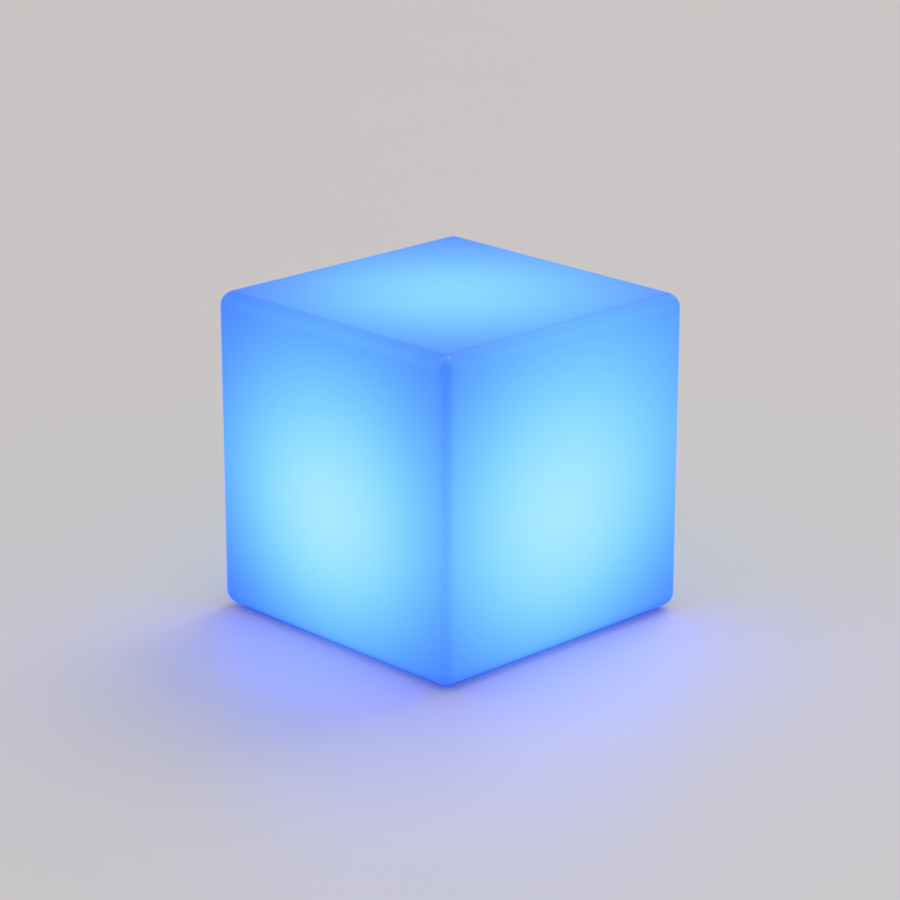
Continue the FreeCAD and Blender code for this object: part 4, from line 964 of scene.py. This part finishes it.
OUTER_RING = (46 * MM, 18)
INNER_RING = (20 * MM, 6)
WINDOW_RADIUS = 1.9 * MM
from_window = window(*OUTER_RING).least(window(*INNER_RING))
phosphor = chips.ease(from_window, WINDOW_RADIUS, 1.7 * MM)
chips.surface("Base Color", chips.blend(phosphor, (0.86, 0.86, 0.84), (0.86, 0.72, 0.16)))
chips.surface("Emission Color", chips.blend(phosphor, (0.0, 0.0, 0.0), (0.12, 0.42, 1.0)))
chips.bump(phosphor, 0.5, 0.0001)
dress_nodes(chips, "led_chips")

# %% [markdown]
# ## Batteries
# A cell wears a shrunk sleeve that ends just round its rims, where bare metal shows. The sleeve
# wrinkles where it shrinks round the rim. Sleeve and metal could be two materials, but the cell is
# one solid, so the distance from its middle decides between them.

# %% Batteries
cells = Finish("cell_sleeve", IOR=1.5, Coat_Roughness=0.1)
SLEEVE_END = 31.6 * MM
cell_x = abs(cells.axes()[0])
bare = cells.ease(cell_x, SLEEVE_END, 31.8 * MM)
wrinkles = cells.noise(1.0, 2.0, 0.5, cells.node("ShaderNodeMapping", sockets={
    "Vector": cells.place(), "Scale": (900.0, 120.0, 120.0)}))
near_end = cells.ease(cell_x, 26 * MM, 31.5 * MM)
sleeve = cells.blend(cells.noise(40.0), (0.012, 0.11, 0.26), (0.02, 0.15, 0.33))
cells.surface("Base Color", cells.blend(bare, sleeve, (0.66, 0.65, 0.62)))
cells.surface("Metallic", bare)
cells.surface("Roughness", cells.ease(cells.noise(200.0), 0.2, 0.8, 0.24, 0.34))
cells.bump(wrinkles * near_end, 0.6, 0.00012)
dress_nodes(cells, "battery_cell_1", "battery_cell_2", "battery_cell_3")

# %% [markdown]
# ## Leads
# Leads are soft vinyl over twisted wire, and the twist shows faintly through it. The two leads of
# the battery are one solid, red and black, told apart by the side of the module they run on.


# %% Leads
def vinyl(name, first, second, mask_of):
    """Soft vinyl sleeve with the faint twist of the wires inside."""
    finish = Finish(name, IOR=1.5, Specular_IOR_Level=0.4)
    twist = finish.node("ShaderNodeTexWave", {"bands_direction": "DIAGONAL"},
                        {"Vector": finish.place(), "Scale": 260.0, "Distortion": 1.0}, out="Fac")
    finish.surface("Base Color", finish.blend(mask_of(finish), first, second))
    finish.surface("Roughness", finish.ease(finish.noise(400.0), 0.2, 0.8, 0.38, 0.5))
    finish.bump(twist, 0.35, 0.00006)
    return finish


dress_nodes(vinyl("battery_vinyl", (0.02, 0.02, 0.022), (0.50, 0.02, 0.018),
                  lambda finish: finish.ease(finish.axes()[0], -MM, MM)), "battery_lead")
dress_nodes(vinyl("signal_vinyl", (0.035, 0.035, 0.04), (0.05, 0.05, 0.056),
                  lambda finish: finish.noise(60.0)), "switch_lead", "jack_lead", "led_lead")

# %% [markdown]
# ## Parts on the control board
# The packages are black resin, and only the tall round ones are capacitors with bright metal cans.
# They are one solid, and the cans are the only parts that reach so high above the board, so height
# alone picks them out.

# %% Parts on the control board
parts = Finish("board_parts", IOR=1.5)
part_z = parts.axes()[2]
board_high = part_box("control_board")[1][2]
CAN_HEIGHT = 5.4 * MM
can = parts.ease(part_z - board_high, CAN_HEIGHT, 5.5 * MM)
parts.surface("Base Color", parts.blend(can, (0.028, 0.028, 0.031), (0.70, 0.71, 0.73)))
parts.surface("Metallic", can)
parts.surface("Roughness", parts.ease(parts.noise(600.0, 3.0), 0.2, 0.8, 0.34, 0.5))
parts.bump(parts.noise(1500.0, 2.0), 0.4, 0.00002)
dress_nodes(parts, "board_components")

# %% [markdown]
# ## Clear and translucent pieces
# The dome and the light pipe let light through. How much could vary over a piece, but real clear
# plastic is even, so it is one number, and only the roughness and a faint relief vary. The
# receiver of the remote control is dark resin that looks black but lets infrared pass, and the
# silicone skirt behind the button is milky.


# %% Clear and translucent pieces
def clear(name, colour, transmission, roughness):
    """Clear or milky plastic with a faintly uneven surface."""
    finish = Finish(name, Transmission_Weight=transmission, IOR=1.49)
    finish.surface("Base Color", finish.blend(finish.noise(60.0), colour, shade(colour, 0.97)))
    finish.surface("Roughness", finish.ease(finish.noise(250.0), 0.2, 0.8,
                                            roughness, roughness + 0.1))
    finish.bump(finish.noise(500.0, 2.0), 0.2, 0.00003)
    return finish


dress_nodes(clear("frosted_clear", (0.94, 0.96, 0.98), 0.9, 0.12), "lens_dome")
dress_nodes(clear("acrylic_pipe", (0.92, 0.95, 0.96), 0.85, 0.06), "status_pipe")
dress(return_skirt, clear("milky_silicone", (0.84, 0.84, 0.80), 0.35, 0.45))
dress_nodes(clear("infrared_resin", (0.022, 0.012, 0.020), 0.1, 0.14), "ir_receiver")

# %% [markdown]
# ## Floor
# The photograph's ground is one plain pale surface. A curved backdrop would only work from the
# front, so a wide disc stands for it, and beyond its rim the sky takes the same colour for the
# camera. It is pale enough to show the blue light that falls on it in front of the cube.

# %% Floor
GROUND = (0.66, 0.635, 0.63)
FLOOR_RADIUS = 30
start_clean()
bpy.ops.mesh.primitive_circle_add(vertices=96, radius=FLOOR_RADIUS, fill_type="NGON")
floor = settle(bpy.context.object, "floor")
ground = Finish("pale_floor", Roughness=0.5, IOR=1.5)
ground.surface("Base Color", ground.blend(ground.noise(3.0, 4.0), GROUND,
                                          tuple(0.985 * part for part in GROUND)))
floor.data.materials.append(ground.material)
print("floor radius", FLOOR_RADIUS, "m")

# %% [markdown]
# ## Sky
# The light is plain and soft: an even sky that shows colours about as they are written. Rays that
# come straight from the camera, or by a mirror or glass, see the colour of the floor instead,
# which gives the plain background without more light on the object.

# %% Sky
SKY_LEVEL = 0.69
SKY_COLOUR = (1, 0.99, 0.985, 1)
BACKGROUND = (0.575, 0.548, 0.542, 1)
world = bpy.data.worlds.new("studio")
bpy.context.scene.world = world
world.use_nodes = True
tree = world.node_tree
sky = tree.nodes["Background"]
sky.inputs["Color"].default_value = SKY_COLOUR
sky.inputs["Strength"].default_value = SKY_LEVEL
seen = tree.nodes.new("ShaderNodeBackground")
seen.inputs["Color"].default_value = BACKGROUND
rays = tree.nodes.new("ShaderNodeLightPath")
either = tree.nodes.new("ShaderNodeMixShader")
seen_rays = rays.outputs["Is Camera Ray"]
for kind in ("Is Glossy Ray", "Is Transmission Ray"):
    most = tree.nodes.new("ShaderNodeMath")
    most.operation = "MAXIMUM"
    tree.links.new(seen_rays, most.inputs[0])
    tree.links.new(rays.outputs[kind], most.inputs[1])
    seen_rays = most.outputs[0]
tree.links.new(seen_rays, either.inputs[0])
tree.links.new(sky.outputs[0], either.inputs[1])
tree.links.new(seen.outputs[0], either.inputs[2])
tree.links.new(either.outputs[0], tree.nodes["World Output"].inputs["Surface"])
print("sky level", SKY_LEVEL)

# %% [markdown]
# ## Lamps
# The photograph's shadow falls softly towards the viewer, so a wide, weak sun stands behind the
# cube; an area lamp there would light the floor unevenly. Two small lamps make the pair of faint
# highlights on the front top corner. They are seen in shiny surfaces only and light nothing else,
# because they are placed where the rounded corner mirrors them, not where light is wanted.

# %% Lamps
def highlight(name, place, size, power):
    """Square lamp that points at the cube and shows in reflections only."""
    start_clean()
    bpy.ops.object.light_add(type="AREA", location=place)
    lamp = bpy.context.object
    lamp.name = name
    lamp.data.size = size
    lamp.data.energy = power
    lamp.visible_diffuse = False
    lamp.rotation_mode = "QUATERNION"
    lamp.rotation_quaternion = (target - Vector(place)).to_track_quat("-Z", "Y")


BACK_LEVEL = 0.8
BACK_ANGLE = math.radians(35)
BACK_DIRECTION = Vector((0.127, -0.658, -0.74))
start_clean()
bpy.ops.object.light_add(type="SUN", location=(-2, 2, 3))
back_light = bpy.context.object
back_light.name = "back_light"
back_light.data.energy = BACK_LEVEL
back_light.data.angle = BACK_ANGLE
back_light.rotation_mode = "QUATERNION"
back_light.rotation_quaternion = BACK_DIRECTION.to_track_quat("-Z", "Y")
HIGHLIGHT_SIZE = 0.4
highlight("highlight_lamp", (0.02, 1.26, 3.12), HIGHLIGHT_SIZE, 16)
highlight("faint_highlight_lamp", (-1.03, -0.89, 3.15), HIGHLIGHT_SIZE, 9)
bpy.context.scene.view_settings.view_transform = "Standard"
